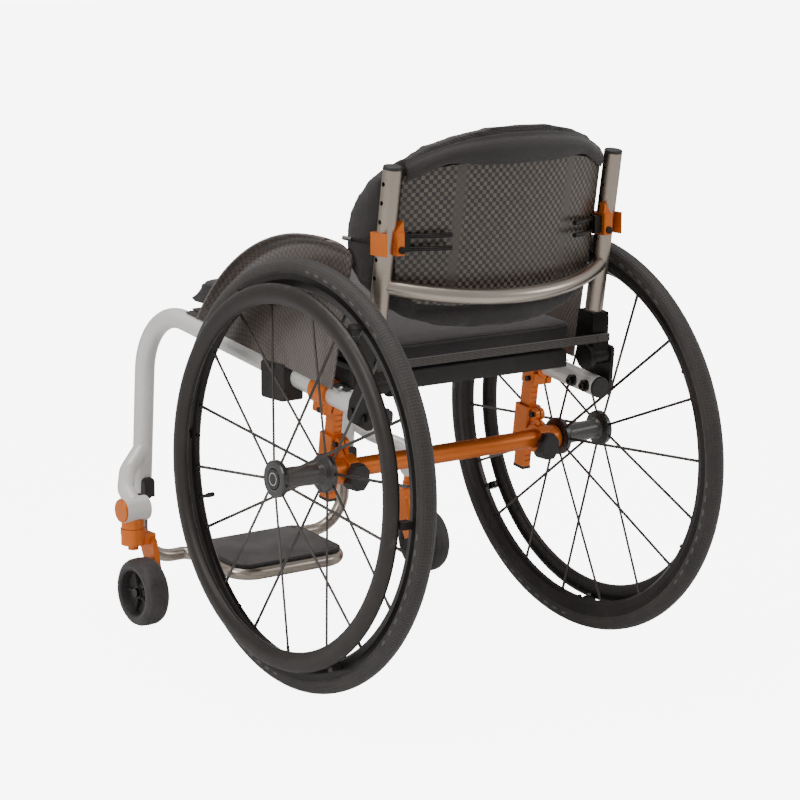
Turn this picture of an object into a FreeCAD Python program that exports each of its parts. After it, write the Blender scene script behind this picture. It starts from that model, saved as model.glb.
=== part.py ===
"""Rigid-frame manual wheelchair with cambered quick-release wheels and a fold-down back.

Units are millimetres.  +Z is up, the user faces -Y and the user's left is +X.
Everything is drawn with the rear axle at y = 0 and moved forward on export, so that
the origin ends up on the floor under the middle of the chair's box.
"""
import FreeCAD, Part
import math
import os

V = FreeCAD.Vector

# ---- rear wheels (24 inch, 25-540 tyre) ----
WHEEL_R = 295.0            # tyre outer radius
TYRE_R = 13.0              # tyre section radius
RIM_IN_R = 252.5
TRACK_HALF = 250.0         # wheel centre plane from the middle, at axle height
CAMBER = 2.0               # degrees, tops lean in
AXLE_R = 6.35              # half-inch quick-release axle
FIT = 0.05                 # radial running clearance
HANDRIM_R = 248.0          # handrim centre radius
HANDRIM_X = 31.0           # handrim offset outboard of the wheel plane
SPOKES = 18
SPOKE_PHASE = {"left": 17.0, "right": 10.0}   # first outer spoke, degrees from the top forward

TAB_PHASE = {"left": 27.0, "right": -1.0}      # handrim tabs
VALVE_ANGLE = 107.0

# ---- frame ----
RAIL_X = 190.0             # side frame centre plane
RAIL_R = 15.0              # 30 mm side tube
RAIL_WALL = 1.8
RAIL_Z0 = 399.0            # rail centre height above the axle line
RAIL_SLOPE = 0.139         # seat dump, rise per mm forward
RAIL_REAR = 107.0
DOWN_Y0 = -499.7           # down tube centre at z = 252
DOWN_SLOPE = 0.077
DOWN_END = 172.0
FRONT_BEND = 100.0
FRONT_REACH = 523.0        # foremost point of the chair ahead of the axle

# ---- axle posts ----
POST_X = 174.0
POST_Y = -19.0             # where the post's axis meets the rail
POST_DROP = 154.0          # post length below the rail centre

# ---- footrest ----
LEG_R = 10.0
LEG_Z = 61.0               # cross run of the footrest leg
HOOP_X = 103.0             # hoop half width
HOOP_Y0, HOOP_Y1 = -513.0, -375.0
HOOP_Z1 = 50.5             # rear run sits lower, so the plate tips up in front
PLATE_HALF, PLATE_DEPTH, PLATE_T = 101.0, 141.0, 4.0

# ---- seat and side guards ----
SEAT_BACK, SEAT_FRONT = 76.0, -401.0
SEAT_HALF = 174.0
GUARD_R, GUARD_CURL = 306.0, 20.0   # radius where the panel starts to curl, curl radius
GUARD_REAR = 63.0

# ---- casters ----
CASTER_X = 262.0
BARREL_Y, BARREL_Z = -410.0, 172.0
STEM_Y = -414.0
CASTER_Y, CASTER_R = -388.0, 51.0
CASTER_W = 38.0

# ---- back ----
PIVOT_Y, PIVOT_Z = 100.0, 429.0
CANE_R = 12.7
CANE_TOP = 716.0
RECLINE = 0.155            # rearward lean per mm of height
HOLE_R = 3.25
HOLE_Z = (697.0, 672.0, 647.0, 597.0, 572.0)
CLAMP_Z = 618.0            # height of the shell clamps
SHELL_R = 400.0            # curvature of the shell in plan
PAD_T = 26.0
STRAP_Z = 455.0

AXLE_Y = (FRONT_REACH - WHEEL_R) / 2.0
WHEEL_Z = (WHEEL_R - TYRE_R) * math.cos(math.radians(CAMBER)) + TYRE_R


# ------------------------------------------------------------------ helpers

def rail_z(y):
    return RAIL_Z0 - RAIL_SLOPE * y


def down_y(z):
    return DOWN_Y0 + DOWN_SLOPE * (z - 252.0)


def cane_y(z):
    return 128.6 + RECLINE * (z - 716.8)


def path(points, radii):
    """Straight runs joined by tangent arcs of the given radii."""
    edges = []
    start = points[0]
    for i, radius in enumerate(radii, 1):
        a, b, c = points[i - 1], points[i], points[i + 1]
        u = (a - b).normalize()
        w = (c - b).normalize()
        half = u.getAngle(w) / 2.0
        t = radius / math.tan(half)
        p, q = b + u * t, b + w * t
        bis = (u + w).normalize()
        mid = b + bis * (radius / math.sin(half) - radius)
        if (p - start).Length > 1e-6:
            edges.append(Part.LineSegment(start, p).toShape())
        edges.append(Part.Arc(p, mid, q).toShape())
        start = q
    edges.append(Part.LineSegment(start, points[-1]).toShape())
    return Part.Wire(edges)


def pipe(wire, radius):
    """Round bar swept along a path."""
    first = wire.Edges[0]
    p = first.valueAt(first.FirstParameter)
    d = first.tangentAt(first.FirstParameter)
    ring = Part.Wire([Part.makeCircle(radius, p, d)])
    return wire.makePipeShell([ring], True, False)


def tube(points, radii, radius, wall):
    wire = path(points, radii)
    return pipe(wire, radius).cut(pipe(wire, radius - wall))


def cyl(radius, a, b):
    return Part.makeCylinder(radius, (b - a).Length, a, b - a)


def box(x0, x1, y0, y1, z0, z1):
    return Part.makeBox(x1 - x0, y1 - y0, z1 - z0, V(x0, y0, z0))


def plate_yz(points, x0, x1):
    """Flat outline in the side plane, extruded across."""
    pts = [V(x0, y, z) for y, z in points]
    return Part.Face(Part.makePolygon(pts + [pts[0]])).extrude(V(x1 - x0, 0, 0))


def round_edges(shape, radius, pick):
    """Fillet the edges that the picker names, or leave the shape as it is."""
    edges = [e for e in shape.Edges if pick(e)]
    return shape.makeFillet(radius, edges) if edges else shape


def along(direction):
    """Picker for straight edges that run along a direction."""
    def pick(e):
        if e.Curve.TypeId != "Part::GeomLine":
            return False
        return abs(e.tangentAt(e.FirstParameter).dot(direction)) > 0.999
    return pick


def fuse(shapes):
    out = shapes[0]
    for s in shapes[1:]:
        out = out.fuse(s)
    return out.removeSplitter()


def revolve_x(points):
    """Closed (x, radius) outline turned about the X axis."""
    pts = [V(x, 0, r) for x, r in points]
    face = Part.Face(Part.makePolygon(pts + [pts[0]]))
    return face.revolve(V(0, 0, 0), V(1, 0, 0), 360)


def mirrored(shape):
    return shape.mirror(V(0, 0, 0), V(1, 0, 0))


def both(shape):
    """The left piece and its right twin."""
    return (shape, mirrored(shape))


def each_side(shapes):
    return list(shapes) + [mirrored(s) for s in shapes]


def on_axle(shape):
    """Wheel-plane coordinates, axle along +X outward, to the left wheel's place."""
    out = shape.copy()
    out.rotate(V(0, 0, 0), V(0, 1, 0), -CAMBER)
    out.translate(V(TRACK_HALF, 0, WHEEL_Z))
    return out


def save(name, *shapes):
    parts = []
    for s in shapes:
        parts += s.Solids
    out = parts[0] if len(parts) == 1 else Part.makeCompound(parts)
    out = out.copy()
    out.translate(V(0, AXLE_Y, 0))
    os.makedirs("parts", exist_ok=True)
    out.exportStep("parts/%s.step" % name)
    b = out.BoundBox
    print("%-22s %3d solids  %8.1f cm3  x %7.1f %7.1f  y %7.1f %7.1f  z %7.1f %7.1f" % (
        name, len(parts), out.Volume / 1000, b.XMin, b.XMax, b.YMin, b.YMax, b.ZMin, b.ZMax))


def save_pair(name, shape):
    save(name + "_left", shape)
    save(name + "_right", mirrored(shape))


# ------------------------------------------------------------------ frame tubes

def side_tube_points():
    corner_y = (DOWN_Y0 + DOWN_SLOPE * (RAIL_Z0 - 252.0)) / (1 + DOWN_SLOPE * RAIL_SLOPE)
    return [V(RAIL_X, RAIL_REAR, rail_z(RAIL_REAR)),
            V(RAIL_X, corner_y, rail_z(corner_y)),
            V(RAIL_X, down_y(DOWN_END), DOWN_END)]


def rail_bar(radius, y0, y1):
    return cyl(radius, V(RAIL_X, y0, rail_z(y0)), V(RAIL_X, y1, rail_z(y1)))


def down_bar(radius, z0, z1):
    return cyl(radius, V(RAIL_X, down_y(z0), z0), V(RAIL_X, down_y(z1), z1))


def side_tube():
    return tube(side_tube_points(), [FRONT_BEND], RAIL_R, RAIL_WALL)


def caster_wing():
    """Curved outrigger tube ending in the cross barrel that holds the caster stem."""
    pts = [V(RAIL_X, -500, 243), V(228, -484, 212), V(258, -440, 196), V(CASTER_X, -412, 180)]
    wing = pipe(path(pts, [26.0, 30.0]), 12.5)
    barrel = cyl(18.5, V(242, BARREL_Y, BARREL_Z), V(282, BARREL_Y, BARREL_Z))
    body = wing.fuse(barrel).cut(down_bar(RAIL_R, 150, 330))
    body = body.cut(cyl(6.0 + FIT, V(CASTER_X, STEM_Y, 120), V(CASTER_X, STEM_Y, 181)))
    body = body.cut(neck_outer())
    return max(body.Solids, key=lambda s: s.Volume)


def neck_outer():
    return cyl(17.0, V(CASTER_X, STEM_Y, 143), V(CASTER_X, STEM_Y, 158))


def caster_neck():
    """Threaded collar under the barrel, around the stem."""
    return neck_outer().cut(cyl(6.0 + FIT, V(CASTER_X, STEM_Y, 130), V(CASTER_X, STEM_Y, 170)))


def barrel_cap():
    cap = cyl(17.5, V(282, BARREL_Y, BARREL_Z), V(285.5, BARREL_Y, BARREL_Z))
    return cap.makeFillet(1.4, [e for e in cap.Edges if e.CenterOfMass.x > 285])


def leg_clamp():
    """Round-topped wedge block on the inner rear of the down tube's mouth."""
    z0, z1 = DOWN_END - 6, 196.0
    block = box(RAIL_X - 9, RAIL_X + 9, down_y(z0) + 8, down_y(z0) + 24, z0, z1)
    block = round_edges(block, 7.0, lambda e: e.CenterOfMass.z > z1 - 1
                        and abs(e.CenterOfMass.x - RAIL_X) > 5)
    plug = down_bar(RAIL_R, DOWN_END - 10, DOWN_END)
    body = block.cut(down_bar(RAIL_R, 120, 240)).fuse(plug)
    return body.cut(pipe(leg_path(), LEG_R)).removeSplitter()


def leg_path():
    """From inside the down tube, bent inward to the cross run."""
    pts = [V(RAIL_X, down_y(232), 232), V(RAIL_X, HOOP_Y0, LEG_Z), V(HOOP_X + 17, HOOP_Y0, LEG_Z)]
    return path(pts, [58.0])


def footrest_leg():
    return pipe(leg_path(), LEG_R).cut(pipe(leg_path(), LEG_R - 1.6))


def footrest_hoop():
    """Closed-front U under the footplate."""
    pts = [V(HOOP_X + 17, HOOP_Y0, LEG_Z), V(HOOP_X, HOOP_Y0, LEG_Z),
           V(HOOP_X - 4, HOOP_Y1, HOOP_Z1), V(4 - HOOP_X, HOOP_Y1, HOOP_Z1),
           V(-HOOP_X, HOOP_Y0, LEG_Z), V(-HOOP_X - 17, HOOP_Y0, LEG_Z)]
    return tube(pts, [15.0, 37.0, 37.0, 15.0], LEG_R, 1.6)


def plate_frame():
    """Placement of the footplate: origin mid front edge, tipped with the hoop."""
    tilt = math.degrees(math.atan2(LEG_Z - HOOP_Z1, HOOP_Y1 - HOOP_Y0))
    return FreeCAD.Placement(V(0, HOOP_Y0, LEG_Z + 10.05), FreeCAD.Rotation(V(1, 0, 0), -tilt))


def footplate():
    body = box(-PLATE_HALF, PLATE_HALF, -2, PLATE_DEPTH, 0, PLATE_T)
    body = round_edges(body, 31.0, lambda e: along(V(0, 0, 1))(e) and e.CenterOfMass.y > 10)
    body = round_edges(body, 14.0, lambda e: along(V(0, 0, 1))(e) and e.CenterOfMass.y < 10)
    body.Placement = plate_frame()
    return body


def footplate_screws():
    out = []
    for x, y in ((-87, 12), (87, 12), (-80, 124), (80, 124)):
        s = cyl(4.0, V(x, y, PLATE_T), V(x, y, PLATE_T + 1.2))
        s.Placement = plate_frame()
        out.append(s)
    return out


def rail_end_cap():
    return rail_bar(RAIL_R, RAIL_REAR, RAIL_REAR + 4)


# ------------------------------------------------------------------ axle group

def on_post(shape):
    """Drawn upright about the rail centre, then leaned to stand square to the rail."""
    lean = FreeCAD.Rotation(V(1, 0, 0), -math.degrees(math.atan(RAIL_SLOPE)))
    out = shape.copy()
    out.Placement = FreeCAD.Placement(V(0, POST_Y, rail_z(POST_Y)), lean).multiply(out.Placement)
    return out


def camber_tube():
    """Cross tube with an axle receiver in each end, at the camber angle."""
    bar = cyl(13.4, V(-183, 0, WHEEL_Z), V(183, 0, WHEEL_Z))
    bar = bar.cut(cyl(11.0, V(-190, 0, WHEEL_Z), V(190, 0, WHEEL_Z)))
    ring = cyl(17.8, V(-70, 0, 0), V(-48, 0, 0))
    ring = ring.makeFillet(2.0, [e for e in ring.Edges if e.CenterOfMass.x > -49])
    sleeve = cyl(9.4, V(-104, 0, 0), V(-60, 0, 0))
    body = fuse([bar] + each_side([on_axle(ring), on_axle(sleeve)]))
    for bore in both(on_axle(cyl(AXLE_R + FIT, V(-200, 0, 0), V(-40, 0, 0)))):
        body = body.cut(bore)
    return body


def post_bar(z0, z1):
    return box(POST_X - 7.5, POST_X + 7.5, -11, 11, z0, z1)


def axle_post():
    """Notched upright hung from a split clamp round the side rail."""
    post = post_bar(-POST_DROP, -8)
    post = post.makeFillet(2.0, [e for e in post.Edges if along(V(0, 0, 1))(e)])
    for z in range(-146, -32, 8):
        post = post.cut(box(POST_X - 6, POST_X + 6, 9.6, 12, z, z + 3))
    collar = cyl(RAIL_R + 5.5, V(RAIL_X, -17.5, 0), V(RAIL_X, 17.5, 0))
    lug = box(RAIL_X - 22, RAIL_X + 12, -15.5, 15.5, -29, -12)
    lug = lug.makeFillet(3.0, [e for e in lug.Edges if along(V(0, 0, 1))(e)])
    body = fuse([post, collar, lug]).cut(cyl(RAIL_R, V(RAIL_X, -60, 0), V(RAIL_X, 60, 0)))
    slit = box(RAIL_X - 2, RAIL_X + 1, -30, 30, -40, -10)
    return on_post(body.cut(slit))


def axle_bracket():
    """Sleeve on the post with a split arm that clamps the camber tube."""
    sleeve = box(POST_X - 12.5, POST_X + 12.5, -15.5, 16, -128, -62)
    sleeve = sleeve.makeFillet(3.0, [e for e in sleeve.Edges if along(V(0, 0, 1))(e)])
    ear = cyl(9.0, V(POST_X - 8, 21, -71), V(POST_X + 8, 21, -71))
    web = plate_yz([(-22, 334), (-8, 328), (3, 313), (8, 300), (-6, 278), (-26, 276)],
                   POST_X - 8, 178.6)
    ring = cyl(20.0, V(POST_X - 12.5, 0, WHEEL_Z), V(178.6, 0, WHEEL_Z))
    body = fuse([on_post(sleeve), on_post(ear), web, ring])
    body = body.cut(on_post(post_bar(-150, -40)))
    body = body.cut(cyl(13.4, V(100, 0, WHEEL_Z), V(220, 0, WHEEL_Z)))
    body = body.cut(on_post(box(POST_X - 1, POST_X + 1, 16.2, 60, -84, -50)))
    return max(body.Solids, key=lambda s: s.Volume)


def antitip_receiver():
    """Faceted knob behind the camber tube's clamp."""
    pts = []
    for i in range(8):
        a = math.radians(45 * i + 22.5)
        pts.append(V(POST_X - 5 + 17.0 * math.cos(a), 6, 287 + 20.0 * math.sin(a)))
    knob = Part.Face(Part.makePolygon(pts + [pts[0]])).extrude(V(0, 26, 0))
    knob = knob.makeChamfer(2.2, [e for e in knob.Edges if e.CenterOfMass.y > 31])
    return knob.cut(cyl(20.2, V(100, 0, WHEEL_Z), V(230, 0, WHEEL_Z)))


def post_plug():
    return on_post(post_bar(-POST_DROP - 4.5, -POST_DROP))


# ------------------------------------------------------------------ seat and guards

def seat_line(y):
    """Underside of the cushion."""
    return 433.0 + 0.088 * (80.0 - y)


def seat_sling():
    """Upholstery panel on the rails with the firm wedge that levels the cushion."""
    y0, y1, y2, y3 = -365.0, -4.0, 36.0, SEAT_BACK - 9
    top = RAIL_R * 1.01 + 0.3
    panel = plate_yz([(y0, rail_z(y0) + top), (y1, rail_z(y1) + top),
                      (y1, rail_z(y1) + top + 3), (y0, rail_z(y0) + top + 3)], -189, 189)
    wide = plate_yz([(y0, rail_z(y0) + top), (y2, rail_z(y2) + top),
                     (y2, seat_line(y2) - 0.4), (y0, seat_line(y0) - 0.4)], -186, 186)
    tail = plate_yz([(y2, rail_z(y2) + top), (y3, rail_z(y3) + top),
                     (y3, seat_line(y3) - 0.4), (y2, seat_line(y2) - 0.4)], -171, 171)
    body = fuse([panel, wide, tail])
    collar = on_post(cyl(RAIL_R + 6.2, V(RAIL_X, -19, 0), V(RAIL_X, 19, 0)))
    block = box(181, 230, -144, -80, 350, 432)
    for cutter in both(collar) + both(block):
        body = body.cut(cutter)
    return body.removeSplitter()


def seat_cushion():
    """Firm pad with a raked front face and eased upper sides."""
    y0, y1 = SEAT_FRONT, SEAT_BACK
    body = plate_yz([(y0, seat_line(y0)), (y1, seat_line(y1)), (y1, seat_line(y1) + 44),
                     (y0 + 40, seat_line(y0) + 39), (y0 + 33, seat_line(y0) + 35)],
                    -SEAT_HALF, SEAT_HALF)
    return round_edges(body, 9.0, lambda e: abs(abs(e.CenterOfMass.x) - SEAT_HALF) < 1
                       and e.CenterOfMass.z > seat_line(e.CenterOfMass.y) + 36)


def guard_profile(inset):
    """Section points in the wheel's frame: foot, start of the curl, its middle, end, tip."""
    x = -33.8
    r = GUARD_CURL - inset
    centre = x + GUARD_CURL
    diagonal = r * math.cos(math.pi / 4)
    return [V(x + inset, 0, 110), V(x + inset, 0, GUARD_R),
            V(centre - diagonal, 0, GUARD_R + diagonal), V(centre, 0, GUARD_R + r),
            V(centre + 6, 0, GUARD_R + r + 1)]


def side_guard():
    """Panel inboard of the tyre, curling out over it as a fender."""
    o, i = guard_profile(0.0), guard_profile(2.5)
    edges = [Part.LineSegment(o[0], o[1]).toShape(), Part.Arc(o[1], o[2], o[3]).toShape(),
             Part.LineSegment(o[3], o[4]).toShape(), Part.LineSegment(o[4], i[4]).toShape(),
             Part.LineSegment(i[4], i[3]).toShape(), Part.Arc(i[3], i[2], i[1]).toShape(),
             Part.LineSegment(i[1], i[0]).toShape(), Part.LineSegment(i[0], o[0]).toShape()]
    sweep = Part.Face(Part.Wire(edges)).revolve(V(0, 0, 0), V(1, 0, 0), 69)
    sweep.rotate(V(0, 0, 0), V(1, 0, 0), -12)
    top = RAIL_R + 3
    keep = plate_yz([(GUARD_REAR, rail_z(GUARD_REAR) + top), (-84, rail_z(-84) + top),
                     (-90, rail_z(-90) - 8), (-134, rail_z(-134) - 8), (-140, rail_z(-140) + top),
                     (-330, rail_z(-330) + top), (-330, 700), (GUARD_REAR, 700)], 180, 260)
    corner = box(180, 260, GUARD_REAR - 30, GUARD_REAR + 20, 587, 720)
    corner = corner.cut(cyl(30.0, V(180, GUARD_REAR - 30, 587), V(260, GUARD_REAR - 30, 587)))
    return on_axle(sweep).common(keep).cut(corner)


def guard_clamp(guard):
    """Block on the rail that holds the guard's foot."""
    y0, y1 = -140.0, -84.0
    body = box(184, 216, y0, y1, rail_z(y1) - 32, rail_z(y0) + 12)
    body = body.makeFillet(5.0, [e for e in body.Edges if along(V(1, 0, 0))(e)])
    return body.cut(rail_bar(RAIL_R, -220, -20)).cut(guard)


# ------------------------------------------------------------------ back hinge, frame side

def hinge_plate():
    """Outer plate on the rail with the pivot pin and its inner head."""
    pts = [(56, rail_z(56) - 14), (106, rail_z(106) - 16), (112, rail_z(106) + 10),
           (116, 441), (88, 445), (62, rail_z(62) + 14)]
    plate = round_edges(plate_yz(pts, 205.3, 211.3), 6.0, along(V(1, 0, 0)))
    pin = cyl(5.0, V(168, PIVOT_Y, PIVOT_Z), V(212, PIVOT_Y, PIVOT_Z))
    head = cyl(18.4, V(167.5, PIVOT_Y, PIVOT_Z), V(175.3, PIVOT_Y, PIVOT_Z))
    head = head.makeFillet(2.0, [e for e in head.Edges if e.CenterOfMass.x < 168])
    boss = cyl(9.0, V(211.3, PIVOT_Y, PIVOT_Z), V(215, PIVOT_Y, PIVOT_Z))
    saddle = box(203, 205.3, 60, 104, rail_z(82) - 14, rail_z(82) + 3)
    return fuse([plate, pin, head, boss, saddle.cut(rail_bar(RAIL_R, 0, 120))])


def saddle_bolts():
    out = []
    for y in (68.0, 95.0):
        z = rail_z(y)
        washer = cyl(8.5, V(171.5, y, z), V(177, y, z)).cut(rail_bar(RAIL_R, 0, 120))
        head = cyl(5.0, V(166.5, y, z), V(171.5, y, z)).cut(cyl(2.5, V(160, y, z), V(169, y, z)))
        out.append(washer.fuse(head))
        out.append(cyl(5.5, V(211.3, y, z), V(214.5, y, z)))
    return out


def frame_bolts():
    """Cap screws of the post, bracket and guard clamps."""
    out = [cyl(4.0, V(216, -112, 426), V(218.5, -112, 426))]
    for x0, x1, y, z in ((POST_X - 12, POST_X - 7.5, 4, -21), (RAIL_X + 12, RAIL_X + 15, 4, -24),
                         (POST_X - 12, POST_X - 8, 21, -71), (POST_X + 8, POST_X + 12, 21, -71)):
        out.append(on_post(cyl(4.0, V(x0, y, z), V(x1, y, z))))
    return out


# ------------------------------------------------------------------ back

def cane_bar(radius, z0, z1):
    return cyl(radius, V(RAIL_X, cane_y(z0), z0), V(RAIL_X, cane_y(z1), z1))


def cane():
    body = cane_bar(CANE_R, 446, CANE_TOP).cut(cane_bar(CANE_R - 2.0, 430, CANE_TOP + 10))
    for z in HOLE_Z:
        y = cane_y(z)
        body = body.cut(cyl(HOLE_R, V(RAIL_X - 30, y, z), V(RAIL_X + 30, y, z)))
    return body


def cane_cap():
    cap = cane_bar(CANE_R, CANE_TOP, CANE_TOP + 4.5)
    return cap.makeFillet(1.6, [e for e in cap.Edges if e.CenterOfMass.z > CANE_TOP + 4])


def by_cane(u, v):
    """Side-plane point: u up the cane from the pivot's height, v square to it rearward."""
    s = math.hypot(1, RECLINE)
    return (cane_y(PIVOT_Z) + (u * RECLINE + v) / s, PIVOT_Z + (u - v * RECLINE) / s)


def cane_socket():
    """Folding half of the hinge: ear on the pivot pin, socket round the cane's foot."""
    x0, x1 = 175.8, 204.9
    ear = cyl(13.2, V(x0, PIVOT_Y, PIVOT_Z), V(x1, PIVOT_Y, PIVOT_Z))
    outline = ((-4, 3), (4, -9), (20, -15.5), (62, -15.5), (64, -13), (64, 15), (52, 17.5),
               (30, 20), (4, 28))
    neck = plate_yz([by_cane(u, v) for u, v in outline], x0, x1)
    body = fuse([ear, neck]).cut(cane_bar(CANE_R, 446, 520))
    return body.cut(cyl(5.0 + FIT, V(150, PIVOT_Y, PIVOT_Z), V(230, PIVOT_Y, PIVOT_Z)))


def rigidizer_bar():
    """Bowed cross tube welded between the canes."""
    end_z, bow, drop = 561.7, 62.5, 21.5
    end = V(RAIL_X, cane_y(end_z), end_z)
    middle = V(0, end.y + bow, end_z - drop)
    wire = Part.Wire([Part.Arc(V(-end.x, end.y, end.z), middle, end).toShape()])
    bar = pipe(wire, 10.5).cut(pipe(wire, 9.0))
    for side in both(cane_bar(CANE_R, 500, 620)):
        bar = bar.cut(side)
    return max(bar.Solids, key=lambda s: s.Volume)


def shell_mid(z):
    """Rear face of the back shell on the centre line."""
    return 150.0 + RECLINE * (z - 620.0)


def shell_arc(off, half, z):
    """Three points of the shell's plan curve, set forward by an offset."""
    a = math.asin(half / SHELL_R)
    c = shell_mid(z) - SHELL_R
    r = SHELL_R - off
    return [V(r * math.sin(t), c + r * math.cos(t), z) for t in (-a, 0, a)]


def curved_panel(offset_in, offset_out, half, z0, z1):
    """Slab between two arcs in plan, leaning with the canes."""
    p = shell_arc(offset_in, half, z0)
    q = shell_arc(offset_out, half, z0)
    wire = Part.Wire([Part.Arc(p[0], p[1], p[2]).toShape(),
                      Part.LineSegment(p[2], q[2]).toShape(),
                      Part.Arc(q[2], q[1], q[0]).toShape(),
                      Part.LineSegment(q[0], p[0]).toShape()])
    return Part.Face(wire).extrude(V(0, RECLINE * (z1 - z0), z1 - z0))


def outline_xz(points):
    """Rear-view outline, extruded through the back as a cutter."""
    poly = Part.makePolygon([V(x, -100, z) for x, z in points + [points[0]]])
    return Part.Face(poly).extrude(V(0, 500, 0))


def back_shell():
    slab = curved_panel(3.0, 0.0, 172, 526, 730)
    half = [(0, 723), (60, 722), (110, 718), (150, 712), (166, 706), (170, 696),
            (170, 590), (164, 556), (140, 534), (90, 528), (0, 527)]
    outline = half + [(-x, z) for x, z in reversed(half[1:-1])]
    return slab.common(outline_xz(outline))


def flip(v):
    return V(-v.x, v.y, v.z)


def spline(points):
    curve = Part.BSplineCurve()
    curve.interpolate(points)
    return curve.toShape()


def pad_curve(off, z):
    """Half plan of the pad at an offset: middle, end of the arc, wing bend, wing tip."""
    c = shell_mid(z) - 4.0 - SHELL_R
    r = SHELL_R - off
    a = math.asin(150.0 / SHELL_R)
    tip_y = 22.0 + RECLINE * (z - 620)
    return (V(0, c + r, z), V(r * math.sin(a), c + r * math.cos(a), z),
            V(196 - off * 0.95, tip_y + 62, z), V(197 - off * 0.75, tip_y, z))


def back_pad():
    """Cushion in front of the shell, with wings that reach forward round the user."""
    z0, z1 = 480.0, 775.0
    mo, eo, ko, wo = pad_curve(0.0, z0)
    mi, ei, ki, wi = pad_curve(PAD_T, z0)
    edges = [Part.Arc(flip(eo), mo, eo).toShape(), spline([eo, ko, wo]),
             Part.LineSegment(wo, wi).toShape(), spline([wi, ki, ei]),
             Part.Arc(ei, mi, flip(ei)).toShape(), spline([flip(ei), flip(ki), flip(wi)]),
             Part.LineSegment(flip(wi), flip(wo)).toShape(), spline([flip(wo), flip(ko), flip(eo)])]
    slab = Part.Face(Part.Wire(edges)).extrude(V(0, RECLINE * (z1 - z0), z1 - z0))
    half = [(0, 773), (50, 771), (100, 763), (140, 750), (175, 728), (197, 700), (204, 660),
            (205, 600), (198, 560), (180, 530), (150, 508), (100, 492), (50, 486), (0, 485)]
    rear = outline_xz(half + [(-x, z) for x, z in reversed(half[1:-1])])
    side = plate_yz([(260, 800), (120, 800), (92, 728), (62, 690), (40, 655), (31, 625),
                     (34, 592), (50, 560), (74, 528), (96, 480), (260, 460)], -300, 300)
    body = slab.common(rear).common(side)
    rod = V(RAIL_X + 10.6, cane_y(CLAMP_Z), CLAMP_Z)
    for cutter in (box(166, 210, rod.y - 17, 260, 598, 650), cane_bar(14.0, 470, 770),
                   cyl(3.4, rod - V(0, 82, 0), rod)):
        body = body.cut(cutter).cut(mirrored(cutter))
    return max(body.Solids, key=lambda s: s.Volume)


def shell_clamp():
    """Split clamp on the cane, open at the rear, with a hook that takes the shell's arm."""
    y = cane_y(CLAMP_Z)
    lo, hi = CLAMP_Z - 15, CLAMP_Z + 15
    body = box(RAIL_X - 17.5, RAIL_X + 15.0, y - 14.5, y + 21, lo, hi)
    body = body.makeFillet(3.0, [e for e in body.Edges if along(V(0, 0, 1))(e)])
    body = body.cut(box(RAIL_X - 4, RAIL_X + 12.3, y - 2, y + 30, lo - 5, hi + 5))
    corners = [V(RAIL_X - 17.5, y + 8, hi), V(RAIL_X - 4, y + 8, hi), V(RAIL_X - 16, y + 8, hi + 15)]
    hook = Part.Face(Part.makePolygon(corners + [corners[0]])).extrude(V(0, 10, 0))
    return fuse([body, hook]).cut(cane_bar(CANE_R, 560, 690))


def shell_arm():
    """Forked bracket from the clamp to the shell's rear face."""
    y = cane_y(CLAMP_Z)
    tines = []
    for z in (CLAMP_Z + 8.5, CLAMP_Z - 8.5):
        pts = [V(RAIL_X - 24, y + 4, z), V(RAIL_X - 60, y + 26, z), V(RAIL_X - 84, y + 33.5, z)]
        tines.append(pipe(path(pts, [60.0]), 3.2))
    pad = box(RAIL_X - 30, RAIL_X - 17.5, y - 6, y + 14, CLAMP_Z - 12, CLAMP_Z + 12)
    body = fuse([pad] + tines).cut(curved_panel(60.0, 0.0, 200, 500, 760))
    return max(body.Solids, key=lambda s: s.Volume)


def clamp_screws():
    y, z = cane_y(CLAMP_Z), CLAMP_Z
    x = RAIL_X + 10.6
    return [cyl(5.0, V(RAIL_X - 11, y + 21, z - 8), V(RAIL_X - 11, y + 23.5, z - 8)),
            cyl(2.0, V(x, y - 58, z), V(x, y - 14.5, z)), cyl(2.7, V(x, y - 78, z), V(x, y - 58, z))]


def release_strap():
    """Taut flat webbing between the two hinges, pulled to unlock the back."""
    y = cane_y(STRAP_Z) + 23.5
    return box(-203, 203, y, y + 1.8, STRAP_Z - 6, STRAP_Z + 6)


# ------------------------------------------------------------------ rear wheel

def tyre():
    ring = Part.Face(Part.Wire([Part.makeCircle(TYRE_R, V(0, 0, WHEEL_R - TYRE_R), V(0, 1, 0))]))
    hole = Part.Face(Part.Wire([Part.makeCircle(9.6, V(0, 0, WHEEL_R - TYRE_R), V(0, 1, 0))]))
    cut = Part.Face(Part.makePolygon([V(-20, 0, 250), V(20, 0, 250), V(20, 0, 274),
                                      V(-20, 0, 274), V(-20, 0, 250)]))
    face = ring.cut(hole).cut(cut)
    return face.revolve(V(0, 0, 0), V(1, 0, 0), 360)


def turned(shape, angle):
    """Turn about the axle, degrees from the top towards the front."""
    out = shape.copy()
    out.rotate(V(0, 0, 0), V(1, 0, 0), angle)
    return out


def rim():
    ring = revolve_x([(-10.2, 274), (-8, 274), (-7.4, 267), (-4, 264), (4, 264), (7.4, 267),
                      (8, 274), (10.2, 274), (10.2, 266), (7.2, 256.5), (3, RIM_IN_R),
                      (-3, RIM_IN_R), (-7.2, 256.5), (-10.2, 266)])
    valve = cyl(2.6, V(0, 0, 224), V(0, 0, RIM_IN_R + 2)).fuse(cyl(3.6, V(0, 0, 220), V(0, 0, 234)))
    return fuse([ring, turned(valve, VALVE_ANGLE)])


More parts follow.
